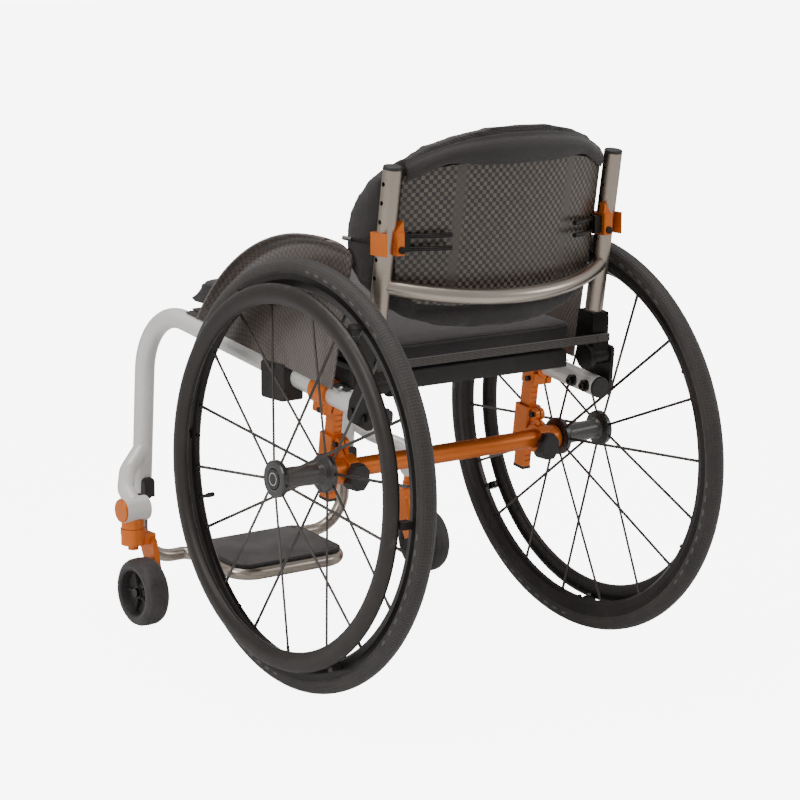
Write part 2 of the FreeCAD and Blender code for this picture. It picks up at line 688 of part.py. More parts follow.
def handrim(phase):
    oval = Part.Ellipse(V(HANDRIM_X, 0, HANDRIM_R + 14), V(HANDRIM_X + 9, 0, HANDRIM_R),
                        V(HANDRIM_X, 0, HANDRIM_R)).toShape()
    ring = Part.Face(Part.Wire([oval])).revolve(V(0, 0, 0), V(1, 0, 0), 360)
    body = ring
    for i in range(6):
        tab = box(10.2, HANDRIM_X - 4, -5, 5, 255, 268).cut(box(8, 11.5, -9, 9, 250, 266.5))
        body = body.fuse(turned(tab, 60 * i + phase))
    return body


def hub():
    return revolve_x([(-47, AXLE_R + FIT), (-47, 24), (-45.5, 27), (-39, 27), (-37, 25),
                      (-33, 16.5), (-26, 14.2), (24, 14.2), (29, 16), (32, 23.5), (33.5, 25.5),
                      (40, 25.5), (41.5, 23.5), (41.5, 15), (32.7, 15), (32.7, AXLE_R + FIT)])


def spokes(phase):
    """Flat radial blades, alternately from the outer and the inner flange."""
    out = []
    for i in range(SPOKES):
        outer = i % 2 == 0
        x0 = 36.0 if outer else -42.0
        r0 = 25.6 if outer else 27.1
        a = math.radians(360.0 / SPOKES * i + phase)
        p = V(x0, -r0 * math.sin(a), r0 * math.cos(a))
        q = V(0.7 if outer else -0.7, -RIM_IN_R * math.sin(a), RIM_IN_R * math.cos(a))
        d = (q - p).normalize()
        side = d.cross(V(1, 0, 0)).normalize()
        up = side.cross(d).normalize()
        m = FreeCAD.Matrix(d.x, side.x, up.x, p.x, d.y, side.y, up.y, p.y,
                           d.z, side.z, up.z, p.z, 0, 0, 0, 1)
        length = (q - p).Length
        blade = box(0.1, length - 13.2, -2.0, 2.0, -0.7, 0.7)
        nipple = cyl(2.2, V(length - 13.2, 0, 0), V(length - 0.5, 0, 0))
        out += [blade.transformGeometry(m), nipple.transformed(m)]
    return out


def quick_axle():
    shaft = cyl(AXLE_R, V(-98, 0, 0), V(34, 0, 0))
    head = cyl(10.5, V(33, 0, 0), V(35.8, 0, 0))
    body = shaft.fuse(head).removeSplitter()
    return body.cut(cyl(3.5 + FIT, V(10, 0, 0), V(50, 0, 0)))


def release_button():
    stem = cyl(3.5, V(18, 0, 0), V(40, 0, 0))
    cap = cyl(13.8, V(39.6, 0, 0), V(42.6, 0, 0))
    cap = cap.makeFillet(1.0, [e for e in cap.Edges if e.CenterOfMass.x > 42])
    return stem.fuse(cap).removeSplitter()


# ------------------------------------------------------------------ caster

def caster_fork():
    """Crown with its stem and one arm on the inboard side."""
    stem = cyl(6.0, V(CASTER_X, STEM_Y, 110), V(CASTER_X, STEM_Y, 179))
    seal = cyl(18.6, V(CASTER_X, STEM_Y, 134), V(CASTER_X, STEM_Y, 142.6))
    crown = cyl(18.0, V(CASTER_X, STEM_Y, 118), V(CASTER_X, STEM_Y, 134))
    bridge = box(231, CASTER_X, STEM_Y - 14, STEM_Y + 14, 118, 134)
    arm = plate_yz([(STEM_Y - 14, 134), (STEM_Y + 8, 134), (STEM_Y + 20, 122),
                    (CASTER_Y + 12, 56), (CASTER_Y + 9, 43), (CASTER_Y, 39.5),
                    (CASTER_Y - 9, 43), (CASTER_Y - 12, 56), (STEM_Y - 12, 104),
                    (STEM_Y - 16, 118)], 231, 241)
    body = fuse([crown, bridge, arm])
    body = body.makeFillet(3.0, [e for e in body.Edges if e.CenterOfMass.x < 231.2
                                 and e.Length > 8])
    nut = cyl(8.0, V(CASTER_X, STEM_Y, 110), V(CASTER_X, STEM_Y, 118))
    body = body.cut(cyl(4.0, V(220, CASTER_Y, CASTER_R), V(250, CASTER_Y, CASTER_R)))
    return fuse([body, stem, nut, seal])


def caster_tyre():
    x0, x1 = CASTER_X - CASTER_W / 2, CASTER_X + CASTER_W / 2
    pts = [(x0 + 1, 36.5), (x0, 40), (x0 + 1, 44), (x0 + 4, 48), (x0 + 9, 50.3), (CASTER_X, 51),
           (x1 - 9, 50.3), (x1 - 4, 48), (x1 - 1, 44), (x1, 40), (x1 - 1, 36.5)]
    body = revolve_x(pts)
    body.translate(V(0, CASTER_Y, CASTER_R))
    return body


def caster_core():
    """Dished wheel centre with its hub."""
    x0, x1 = CASTER_X - CASTER_W / 2, CASTER_X + CASTER_W / 2
    bore = 4.0 + FIT
    pts = [(x0 + 1, bore), (x0 + 1, 13), (x0 + 5, 15), (x0 + 5, 31), (x0 + 1.5, 34),
           (x0 + 1.5, 36.5), (x1 - 1.5, 36.5), (x1 - 1.5, 34), (x1 - 14, 31), (x1 - 17, 15),
           (x1 - 12, 9.5), (x1 - 9, 9.5), (x1 - 9, bore)]
    body = revolve_x(pts)
    body.translate(V(0, CASTER_Y, CASTER_R))
    return body


def caster_rod(radius, x0, x1):
    return cyl(radius, V(x0, CASTER_Y, CASTER_R), V(x1, CASTER_Y, CASTER_R))


def caster_bolt():
    x1 = CASTER_X + CASTER_W / 2
    return fuse([caster_rod(4.0, 228, x1 - 6), caster_rod(7.0, x1 - 8.6, x1 - 4),
                 caster_rod(7.0, 226.5, 231)])


# ------------------------------------------------------------------ export

guard = side_guard()

save_pair("side_tube", side_tube())
save_pair("caster_wing", caster_wing())
save("caster_necks", *both(caster_neck()))
save("barrel_caps", *both(barrel_cap()))
save("leg_clamps", *both(leg_clamp()))
save_pair("footrest_leg", footrest_leg())
save("footrest_hoop", footrest_hoop())
save("footplate", footplate())
save("tube_plugs", *each_side([rail_end_cap(), post_plug()]))
save("camber_tube", camber_tube())
save_pair("axle_post", axle_post())
save_pair("axle_bracket", axle_bracket())
save("antitip_receivers", *both(antitip_receiver()))
save("seat_sling", seat_sling())
save("seat_cushion", seat_cushion())
save_pair("side_guard", guard)
save("guard_clamps", *both(guard_clamp(guard)))
save_pair("hinge_plate", hinge_plate())
save("frame_bolts", *(each_side(saddle_bolts() + frame_bolts()) + footplate_screws()))

save_pair("cane", cane())
save("cane_caps", *both(cane_cap()))
save_pair("cane_socket", cane_socket())
save("rigidizer_bar", rigidizer_bar())
save("back_shell", back_shell())
save("back_pad", back_pad())
save("shell_clamps", *both(shell_clamp()))
save("shell_arms", *both(shell_arm()))
save("clamp_screws", *each_side(clamp_screws()))
save("release_strap", release_strap())

save_pair("tyre", on_axle(tyre()))
save_pair("rim", on_axle(rim()))
save("handrim_left", on_axle(handrim(TAB_PHASE["left"])))
save("handrim_right", mirrored(on_axle(handrim(TAB_PHASE["right"]))))
save_pair("hub", on_axle(hub()))
save("spokes_left", *[on_axle(s) for s in spokes(SPOKE_PHASE["left"])])
save("spokes_right", *[mirrored(on_axle(s)) for s in spokes(SPOKE_PHASE["right"])])
save_pair("quick_axle", on_axle(quick_axle()))
save_pair("release_button", on_axle(release_button()))

save_pair("caster_fork", caster_fork())
save_pair("caster_tyre", caster_tyre())
save_pair("caster_core", caster_core())
save_pair("caster_bolt", caster_bolt())
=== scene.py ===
"""Looks of a rigid-frame manual wheelchair with cambered quick-release wheels."""
import math

import bpy
from mathutils import Matrix, Vector


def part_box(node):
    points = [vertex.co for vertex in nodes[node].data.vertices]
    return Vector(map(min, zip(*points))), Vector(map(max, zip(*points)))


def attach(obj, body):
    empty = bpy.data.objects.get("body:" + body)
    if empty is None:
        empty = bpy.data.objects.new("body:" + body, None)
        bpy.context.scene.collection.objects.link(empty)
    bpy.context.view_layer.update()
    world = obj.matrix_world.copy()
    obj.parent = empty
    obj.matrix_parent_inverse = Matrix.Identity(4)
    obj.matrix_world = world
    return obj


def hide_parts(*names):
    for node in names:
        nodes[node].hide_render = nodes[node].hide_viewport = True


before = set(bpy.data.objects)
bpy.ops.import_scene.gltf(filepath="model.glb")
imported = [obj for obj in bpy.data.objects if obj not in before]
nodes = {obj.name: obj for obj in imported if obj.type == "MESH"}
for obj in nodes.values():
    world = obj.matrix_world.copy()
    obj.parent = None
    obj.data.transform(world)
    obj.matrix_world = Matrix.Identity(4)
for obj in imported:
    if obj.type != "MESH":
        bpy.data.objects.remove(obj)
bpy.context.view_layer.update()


# ---- Camera ------------------------------------------------------------------
# A long lens a little above seat height, behind and to the left of the chair,
# so the fold-down back and both rear wheels are seen from behind.

yaw, pitch, roll = 2.4944213, 0.1935076, 0.0025883
look = Vector((-math.sin(yaw) * math.cos(pitch), math.cos(yaw) * math.cos(pitch), -math.sin(pitch)))
right = look.cross(Vector((0, 0, 1))).normalized()
up = right.cross(look)
right, up = (right * math.cos(roll) + up * math.sin(roll),
             up * math.cos(roll) - right * math.sin(roll))
lens = bpy.data.cameras.new("camera")
lens.lens = 115.82
lens.sensor_width = 36.0
lens.clip_end = 60.0
camera = bpy.data.objects.new("camera", lens)
turn = Matrix((right, up, -look)).transposed().to_4x4()
camera.matrix_world = Matrix.Translation((2.1802, 2.8934, 1.0623)) @ turn
bpy.context.scene.collection.objects.link(camera)
bpy.context.scene.camera = camera


# ---- Floor and studio light --------------------------------------------------
# A wide white sweep under the chair, a pale room, one large soft light overhead
# and two weaker ones at the sides. None of it belongs to the chair.

def deselect():
    """Object mode with nothing selected."""
    if bpy.context.object is not None and bpy.context.object.mode != "OBJECT":
        bpy.ops.object.mode_set(mode="OBJECT")
    bpy.ops.object.select_all(action="DESELECT")


def select_only(piece):
    """Only this piece selected, and active."""
    deselect()
    piece.select_set(True)
    bpy.context.view_layer.objects.active = piece


def apply_place():
    """Puts the selected piece's place, turn and size into its mesh."""
    bpy.ops.object.transform_apply(location=True, rotation=True, scale=True)


deselect()
bpy.ops.mesh.primitive_plane_add(size=40.0, location=(0, 0, -0.0004))
floor = bpy.context.object
floor.name = "floor"
floor_white = bpy.data.materials.new("floor_white")
floor_white.use_nodes = True
floor_shader = floor_white.node_tree.nodes["Principled BSDF"]
floor_shader.inputs["Base Color"].default_value = (0.90, 0.90, 0.90, 1)
floor_shader.inputs["Roughness"].default_value = 0.6
floor_shader.inputs["Emission Color"].default_value = (1.0, 0.995, 0.99, 1)
seen = floor_white.node_tree.nodes.new("ShaderNodeLightPath")
bright = floor_white.node_tree.nodes.new("ShaderNodeMath")
bright.operation = "MULTIPLY"
bright.inputs[1].default_value = 7.0
floor_white.node_tree.links.new(seen.outputs["Is Camera Ray"], bright.inputs[0])
floor_white.node_tree.links.new(bright.outputs[0], floor_shader.inputs["Emission Strength"])
floor.data.materials.append(floor_white)

room = bpy.data.worlds.new("room")
room.use_nodes = True
pale = room.node_tree.nodes["Background"]
pale.inputs["Color"].default_value = (1.0, 0.99, 0.98, 1)
seen = room.node_tree.nodes.new("ShaderNodeLightPath")
bright = room.node_tree.nodes.new("ShaderNodeMath")
bright.operation = "MULTIPLY_ADD"
bright.inputs[1].default_value = 7.5
bright.inputs[2].default_value = 0.52
room.node_tree.links.new(seen.outputs["Is Camera Ray"], bright.inputs[0])
room.node_tree.links.new(bright.outputs[0], pale.inputs["Strength"])
bpy.context.scene.world = room

for name, place, aim, width, power in (
        ("overhead", (0.3, 0.2, 3.0), (0.0, 0.0, 0.3), 2.0, 48.0),
        ("left_side", (2.6, 0.2, 1.9), (0.0, 0.1, 0.4), 1.2, 26.0),
        ("right_side", (-2.4, 1.9, 1.6), (0.0, 0.1, 0.4), 1.0, 12.0)):
    glow = bpy.data.lights.new(name, "AREA")
    glow.size = width
    glow.energy = power
    lamp = bpy.data.objects.new(name, glow)
    lamp.location = place
    lamp.rotation_euler = (Vector(aim) - Vector(place)).to_track_quat("-Z", "Y").to_euler()
    bpy.context.scene.collection.objects.link(lamp)


# ---- Painted side frames -----------------------------------------------------
# Bent 30 mm aluminium tubes with the curved caster outriggers welded on, in a
# warm silver-white satin powder coat with a little flake and slight orange peel.

def add(tree, kind, settings=None, sockets=None):
    """A shader node with its settings; sockets take a value or a link."""
    new = tree.nodes.new(kind)
    for key, value in (settings or {}).items():
        setattr(new, key, value)
    for key, value in (sockets or {}).items():
        if isinstance(value, bpy.types.NodeSocket):
            tree.links.new(value, new.inputs[key])
        else:
            new.inputs[key].default_value = value
    return new


OPERATIONS = {"*": "MULTIPLY", "+": "ADD", "-": "SUBTRACT", "*+": "MULTIPLY_ADD"}


def maths(tree, sign, a, b=0.0, c=0.0):
    """The result of one Math node, named by its sign or by its own word."""
    return add(tree, "ShaderNodeMath", {"operation": OPERATIONS.get(sign, sign)},
               {0: a, 1: b, 2: c}).outputs[0]


def noise(tree, vector, scale, detail, roughness=0.5):
    """The value of one Noise texture."""
    return add(tree, "ShaderNodeTexNoise", None,
               {"Vector": vector, "Scale": scale, "Detail": detail,
                "Roughness": roughness}).outputs[0]


def apart(tree, a, b):
    """How far one value is from another."""
    return maths(tree, "ABSOLUTE", maths(tree, "-", a, b))


def mix(tree, factor, a, b):
    """The colour between two colours."""
    return add(tree, "ShaderNodeMix", {"data_type": "RGBA"},
               {"Factor": factor, 6: a, 7: b}).outputs[2]


def span(tree, value, low, high, to_low=0.0, to_high=1.0):
    """A value brought smoothly from one range to another."""
    return add(tree, "ShaderNodeMapRange", {"interpolation_type": "SMOOTHSTEP"},
               {"Value": value, "From Min": low, "From Max": high,
                "To Min": to_low, "To Max": to_high}).outputs["Result"]


KINDS = {"vector": "NodeSocketVector", "colour": "NodeSocketColor", "value": "NodeSocketFloat"}


def new_group(name, takes, gives):
    """An empty shader group with named sockets, its input node and its output node."""
    tree = bpy.data.node_groups.new(name, "ShaderNodeTree")
    for label, kind in takes:
        tree.interface.new_socket(label, in_out="INPUT", socket_type=KINDS[kind])
    for label, kind in gives:
        tree.interface.new_socket(label, in_out="OUTPUT", socket_type=KINDS[kind])
    return tree, tree.nodes.new("NodeGroupInput").outputs, tree.nodes.new("NodeGroupOutput").inputs


def give(tree, outlet, **results):
    """Joins a group's results to its output sockets."""
    for label, value in results.items():
        tree.links.new(value, outlet[label.replace("_", " ")])


# Cloudy change of tone, fine grain, and light scuffs that polish or dull the finish.
coat_wear, take, outlet = new_group(
    "coat_wear",
    (("Vector", "vector"), ("Color", "colour"), ("Worn Color", "colour"), ("Cloud Scale", "value"),
     ("Grain Scale", "value"), ("Scuffs", "value"), ("Roughness", "value")),
    (("Color", "colour"), ("Roughness", "value"), ("Height", "value")))
cloud = noise(coat_wear, take["Vector"], take["Cloud Scale"], 4.0)
grain = noise(coat_wear, take["Vector"], take["Grain Scale"], 2.0)
streak = add(coat_wear, "ShaderNodeMapping", None,
             {"Vector": take["Vector"], "Scale": (130.0, 900.0, 260.0)})
scratch = noise(coat_wear, streak.outputs[0], 1.0, 3.0)
rubbed = maths(coat_wear, "*", span(coat_wear, cloud, 0.42, 0.68),
               span(coat_wear, scratch, 0.52, 0.72))
worn = maths(coat_wear, "*", rubbed, take["Scuffs"])
tone = maths(coat_wear, "*", span(coat_wear, cloud, 0.3, 0.7), 0.12)
tinted = mix(coat_wear, maths(coat_wear, "+", tone, worn), take["Color"], take["Worn Color"])
rough = maths(coat_wear, "*+", cloud, 0.10,
              maths(coat_wear, "-", take["Roughness"], 0.05))
rough = maths(coat_wear, "*+", grain, 0.08,
              maths(coat_wear, "-", rough, 0.04))
give(coat_wear, outlet, Color=tinted, Roughness=rough,
     Height=maths(coat_wear, "*+", scratch, 0.15, grain))


def new_material(name):
    """A material, its tree, its shader and its object coordinates."""
    material = bpy.data.materials.new(name)
    material.use_nodes = True
    tree = material.node_tree
    place = tree.nodes.new("ShaderNodeTexCoord").outputs["Object"]
    return material, tree, tree.nodes["Principled BSDF"], place


def group(tree, made, sockets):
    """One use of a shader group, with its own values."""
    return add(tree, "ShaderNodeGroup", {"node_tree": made}, sockets).outputs


def plug(tree, shader, made, depth, colour=None):
    """Joins a group's colour, roughness and height to the shader; depth is in metres."""
    bump = add(tree, "ShaderNodeBump", None, {"Height": made["Height"], "Distance": depth})
    tree.links.new(made["Color"] if colour is None else colour, shader.inputs["Base Color"])
    tree.links.new(made["Roughness"], shader.inputs["Roughness"])
    tree.links.new(bump.outputs[0], shader.inputs["Normal"])


def tune(shader, **values):
    """Sets a shader's constants."""
    for label, value in values.items():
        shader.inputs[label.replace("_", " ")].default_value = value


def coated(name, colour, worn_colour, roughness, metal, clouds, grains, scuffs, depth, coat=0.0):
    """A painted, anodised or moulded finish built on the shared wear."""
    material, tree, shader, place = new_material(name)
    made = group(tree, coat_wear, {
        "Vector": place, "Color": (*colour, 1), "Worn Color": (*worn_colour, 1),
        "Cloud Scale": clouds, "Grain Scale": grains, "Scuffs": scuffs, "Roughness": roughness})
    plug(tree, shader, made, depth)
    tune(shader, Metallic=metal, Coat_Weight=coat, Coat_Roughness=0.25)
    return material


def dress(material, slot, *names):
    """Gives carried-over parts their finish; a star stands for both sides. The slot argument is not
    used.
    """
    for name in sum(([name.replace("*", hand) for hand in ("left", "right")] if "*" in name
                     else [name] for name in names), []):
        for holder in nodes[name].material_slots:
            holder.material = material


frame_paint = coated("frame_paint", (0.82, 0.795, 0.76), (0.68, 0.655, 0.62),
                     roughness=0.34, metal=0.15, clouds=9.0, grains=1400.0,
                     scuffs=0.10, depth=0.00003, coat=0.35)
dress(frame_paint, "frame_paint", "side_tube_*",
      "caster_wing_*")


# ---- Orange anodised hardware ------------------------------------------------
# Camber tube, axle posts and brackets, shell clamps, caster crowns, collars and
# caps: machined aluminium, fine blasted, dyed orange and slightly worn at grips.

orange_alloy = coated("orange_alloy", (0.76, 0.165, 0.010), (0.84, 0.27, 0.05),
                      roughness=0.36, metal=0.45, clouds=22.0, grains=2200.0,
                      scuffs=0.22, depth=0.00002, coat=0.15)
dress(orange_alloy, "orange", "camber_tube", "axle_post_*",
      "axle_bracket_*", "shell_clamps", "caster_necks",
      "barrel_caps", "caster_fork_*")


# ---- Brushed titanium --------------------------------------------------------
# Back canes, the bowed bar between them and the footrest tubes: bare titanium,
# brushed round the tube, a warm brown grey with soft broken streaks.

brushed, take, outlet = new_group(
    "brushed",
    (("Vector", "vector"), ("Streaks", "vector"), ("Color", "colour"), ("Dark Color", "colour"),
     ("Roughness", "value")),
    (("Color", "colour"), ("Roughness", "value"), ("Height", "value")))
stretched = add(brushed, "ShaderNodeVectorMath", {"operation": "MULTIPLY"},
                {0: take["Vector"], 1: take["Streaks"]})
lines = noise(brushed, stretched.outputs[0], 1.0, 5.0, 0.62)
haze = noise(brushed, take["Vector"], 16.0, 3.0)
shade = maths(brushed, "*+", haze, 0.5,
              maths(brushed, "*", lines, 0.6))
give(brushed, outlet,
     Color=mix(brushed, span(brushed, shade, 0.20, 0.90), take["Color"], take["Dark Color"]),
     Roughness=maths(brushed, "*+", lines, 0.16,
                     maths(brushed, "-", take["Roughness"], 0.08)),
     Height=lines)


def brushed_metal(name, colour, dark_colour, streaks, roughness, depth):
    """Bare metal whose brushing runs where the streaks are stretched."""
    material, tree, shader, place = new_material(name)
    made = group(tree, brushed, {"Vector": place, "Streaks": streaks, "Color": (*colour, 1),
                                 "Dark Color": (*dark_colour, 1), "Roughness": roughness})
    plug(tree, shader, made, depth)
    tune(shader, Metallic=1.0)
    return material


titanium = brushed_metal("titanium", (0.48, 0.415, 0.35), (0.37, 0.315, 0.26),
                         (220.0, 220.0, 2400.0), 0.36, 0.000008)
dress(titanium, "titanium", "cane_*")
titanium_bar = brushed_metal("titanium_bar", (0.54, 0.48, 0.415), (0.42, 0.365, 0.31),
                             (2400.0, 260.0, 260.0), 0.30, 0.000008)
dress(titanium_bar, "titanium", "rigidizer_bar", "footrest_hoop",
      "footrest_leg_*")


# ---- Moulded black plastic and black hardware --------------------------------
# Plugs, leg wedges, guard blocks and receivers are glass-filled nylon with a
# fine moulded grain; hinges are black anodised plate; screws are black oxide.

nylon = coated("nylon", (0.022, 0.019, 0.018), (0.05, 0.045, 0.042), roughness=0.52, metal=0.0,
               clouds=30.0, grains=1600.0, scuffs=0.35, depth=0.00010)
dress(nylon, "black_plastic", "leg_clamps", "tube_plugs", "antitip_receivers", "guard_clamps",
      "cane_caps")
hinge_black = coated("hinge_black", (0.016, 0.014, 0.013), (0.08, 0.072, 0.066), roughness=0.36,
                     metal=0.55, clouds=26.0, grains=2000.0, scuffs=0.30, depth=0.00003)
dress(hinge_black, "black_metal", "hinge_plate_*",
      "cane_socket_*", "shell_arms")
screw_black = coated("screw_black", (0.028, 0.024, 0.023), (0.14, 0.125, 0.118), roughness=0.30,
                     metal=0.8, clouds=60.0, grains=2600.0, scuffs=0.35, depth=0.00002)
dress(screw_black, "bolt_black", "frame_bolts", "clamp_screws",
      "caster_bolt_*")


# ---- Footplate ---------------------------------------------------------------
# A thin black plate on the titanium hoop, with a stuck-on sheet of coarse grip
# tape that stops short of the plate's edge and is cut round the four screws.

plate_black = coated("plate_black", (0.020, 0.0175, 0.0165), (0.09, 0.085, 0.08), roughness=0.40,
                     metal=0.4, clouds=18.0, grains=1800.0, scuffs=0.5, depth=0.00004)
dress(plate_black, "grip_black", "footplate")

grit, tree, shader, place = new_material("grit")
specks = add(tree, "ShaderNodeTexVoronoi", None, {"Vector": place, "Scale": 900.0})
patches = noise(tree, place, 14.0, 5.0)
crumbs = noise(tree, place, 700.0, 4.0)
glint = span(tree, specks.outputs["Distance"], 0.0, 0.55, 1.0, 0.0)
tread_worn = span(tree, patches, 0.35, 0.7)
grit_colour = mix(tree, maths(tree, "*", glint, crumbs),
                  (0.070, 0.064, 0.063, 1), (0.27, 0.255, 0.25, 1))
grit_colour = mix(tree, maths(tree, "*", tread_worn, 0.35), grit_colour, (0.19, 0.175, 0.17, 1))
grit_bump = add(tree, "ShaderNodeBump", None,
                {"Height": glint, "Distance": 0.0004, "Strength": 0.8})
tree.links.new(grit_colour, shader.inputs["Base Color"])
tree.links.new(maths(tree, "*+", crumbs, 0.2, 0.62), shader.inputs["Roughness"])
tree.links.new(grit_bump.outputs[0], shader.inputs["Normal"])


def flag(piece, faces=None, edges=None, points=None):
    """Edit mode with only the faces, edges or points that pass the test selected."""
    bpy.ops.object.mode_set(mode="OBJECT")
    mesh = piece.data
    mesh.polygons.foreach_set("select", [False] * len(mesh.polygons))
    mesh.edges.foreach_set("select", [False] * len(mesh.edges))
    mesh.vertices.foreach_set("select", [False] * len(mesh.vertices))
    if faces:
        for face in mesh.polygons:
            face.select = faces(face)
        mode = "FACE"
    elif edges:
        for edge in mesh.edges:
            edge.select = edges(*(mesh.vertices[i].co for i in edge.vertices))
        mode = "EDGE"
    else:
        for point in mesh.vertices:
            point.select = points(point.co)
        mode = "VERT"
    bpy.ops.object.mode_set(mode="EDIT")
    bpy.ops.mesh.select_mode(type=mode)


def seat_piece(piece, name, body, material, angle=35.0):
    """Ends a new piece: place in its mesh, smooth, named, finished and riding on its body."""
    select_only(piece)
    apply_place()
    bpy.ops.object.shade_smooth_by_angle(angle=math.radians(angle))
    piece.name = name
    piece.data.name = name
    piece.data.materials.clear()
    piece.data.materials.append(material)
    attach(piece, body)
    return piece


plate_tilt = math.atan2(0.0105, 0.138)
deselect()
bpy.ops.mesh.primitive_plane_add(size=1.0, location=(0, 0, 0))
tape = bpy.context.object
tape.scale = (0.194, 0.135, 1.0)
apply_place()
flag(tape, points=lambda p: True)
bpy.ops.mesh.bevel(offset=0.026, segments=7, affect="VERTICES")
bpy.ops.mesh.select_all(action="SELECT")
bpy.ops.mesh.extrude_region_move(TRANSFORM_OT_translate={"value": (0, 0, 0.0007)})
bpy.ops.mesh.normals_make_consistent(inside=False)
flag(tape, edges=lambda a, b: min(a.z, b.z) > 0.0006)
bpy.ops.mesh.bevel(offset=0.0003, segments=2, affect="EDGES")
bpy.ops.object.mode_set(mode="OBJECT")
tape.rotation_euler = (-plate_tilt, 0, 0)
tape.location = (0, -0.399 + 0.0695 * math.cos(plate_tilt) + 0.0041 * math.sin(plate_tilt),
                 0.07105 + 0.0041 * math.cos(plate_tilt) - 0.0695 * math.sin(plate_tilt))
seat_piece(tape, "grip_tape", "frame", grit)


# ---- Rear wheel tyres --------------------------------------------------------
# Slim high-pressure tyres: fine diamond tread over the crown, smooth sidewalls
# with thin moulded rings and a row of short raised dashes, dusty black rubber.

SIDES = ((1, "left"), (-1, "right"))
CAMBER = math.radians(2.0)
TYRE_CENTRE, TYRE_HALF = 0.282, 0.013   # radius of the tyre's core line, half its section
AXLE = Vector((0.0, 0.114, TYRE_CENTRE * math.cos(CAMBER) + TYRE_HALF))
TRACK = 0.250

wheel_space, take, outlet = new_group(
    "wheel_space", (("Vector", "vector"),),
    (("Angle", "value"), ("Radius", "value"), ("Across", "value")))
parts = add(wheel_space, "ShaderNodeSeparateXYZ", None, {0: take["Vector"]}).outputs
squares = maths(wheel_space, "+", maths(wheel_space, "*", parts[1], parts[1]),
                maths(wheel_space, "*", parts[2], parts[2]))
give(wheel_space, outlet, Angle=maths(wheel_space, "ARCTAN2", parts[1], parts[2]),
     Radius=maths(wheel_space, "SQRT", squares), Across=parts[0])


def wheel_coordinates(tree, place, side):
    """Angle, radius and distance along the axle from one wheel's own centre."""
    local = add(tree, "ShaderNodeMapping", {"vector_type": "TEXTURE"},
                {"Vector": place, "Location": (side * TRACK, AXLE.y, AXLE.z),
                 "Rotation": (0, -side * CAMBER, 0)})
    return group(tree, wheel_space, {"Vector": local.outputs[0]})


rubber, take, outlet = new_group(
    "rubber",
    (("Vector", "vector"), ("Color", "colour"), ("Dust Color", "colour"), ("Relief", "value"),
     ("Dusty", "value")),
    (("Color", "colour"), ("Roughness", "value"), ("Height", "value")))
dust = noise(rubber, take["Vector"], 26.0, 5.0, 0.65)
pores = noise(rubber, take["Vector"], 1500.0, 2.0)
sunk = span(rubber, take["Relief"], 0.0, 0.6, 0.55, 0.12)
dusted = maths(rubber, "*", maths(rubber, "*", sunk, take["Dusty"]),
               span(rubber, dust, 0.3, 0.65))
give(rubber, outlet, Color=mix(rubber, dusted, take["Color"], take["Dust Color"]),
     Roughness=maths(rubber, "*+", dust, 0.18, 0.50),
     Height=maths(rubber, "*+", pores, 0.06, take["Relief"]))


for side, hand in SIDES:
    tyre_rubber, tree, shader, place = new_material("tyre_rubber_" + hand)
    wheel = wheel_coordinates(tree, place, side)
    from_core = maths(tree, "-", wheel["Radius"], TYRE_CENTRE)
    around = maths(tree, "ARCTAN2", wheel["Across"], from_core)
    turn_by = maths(tree, "*", wheel["Angle"], 206.0)
    lean_by = maths(tree, "*", around, 9.2)
    knurl = maths(tree, "*", maths(tree, "SINE", maths(tree, "+", turn_by, lean_by)),
                  maths(tree, "SINE", maths(tree, "-", turn_by, lean_by)))
    steep = maths(tree, "ABSOLUTE", around)
    crown = span(tree, steep, 1.02, 1.16, 1.0, 0.0)
    blocks = maths(tree, "*", span(tree, knurl, -0.20, 0.25), crown)
    ring = span(tree, apart(tree, steep, 1.32), 0.0, 0.03, 1.0, 0.0)
    bead = span(tree, apart(tree, steep, 2.02), 0.0, 0.05, 1.0, 0.0)
    belt = span(tree, apart(tree, steep, 1.66), 0.11, 0.14, 1.0, 0.0)
    dashes = span(tree, maths(tree, "SINE", maths(tree, "*", wheel["Angle"], 84.0)), 0.1, 0.3)
    spread = span(tree, maths(tree, "SINE", maths(tree, "*", wheel["Angle"], 4.0)), 0.25, 0.35)
    mark = maths(tree, "*", maths(tree, "*", belt, dashes), spread)
    lines = maths(tree, "MAXIMUM", maths(tree, "MAXIMUM", ring, bead), mark)
    relief = maths(tree, "MAXIMUM", blocks, maths(tree, "*", lines, 0.7))
    made = group(tree, rubber, {"Vector": place, "Color": (0.024, 0.020, 0.018, 1),
                                "Dust Color": (0.080, 0.067, 0.058, 1), "Relief": relief,
                                "Dusty": 0.5})
    shown = mix(tree, maths(tree, "*", mark, 0.75), made["Color"], (0.13, 0.125, 0.12, 1))
    plug(tree, shader, made, 0.0005, shown)
    tune(shader, Sheen_Weight=0.12, Sheen_Roughness=0.5)
    dress(tyre_rubber, "tyre_rubber", "tyre_" + hand)


# ---- Rims, spokes and handrims -----------------------------------------------
# Black anodised box rims, flat black steel spokes in nipples, and a satin dark
# oval handrim whose spun finish runs round the wheel.

rim_black = coated("rim_black", (0.024, 0.020, 0.019), (0.10, 0.09, 0.083), roughness=0.33,
                   metal=0.6, clouds=20.0, grains=2000.0, scuffs=0.25, depth=0.00002)
dress(rim_black, "dark_alloy", "rim_*")
spoke_black = coated("spoke_black", (0.075, 0.066, 0.060), (0.20, 0.18, 0.165), roughness=0.34,
                     metal=0.6, clouds=40.0, grains=2400.0, scuffs=0.3, depth=0.00001)
dress(spoke_black, "spoke_black", "spokes_*")

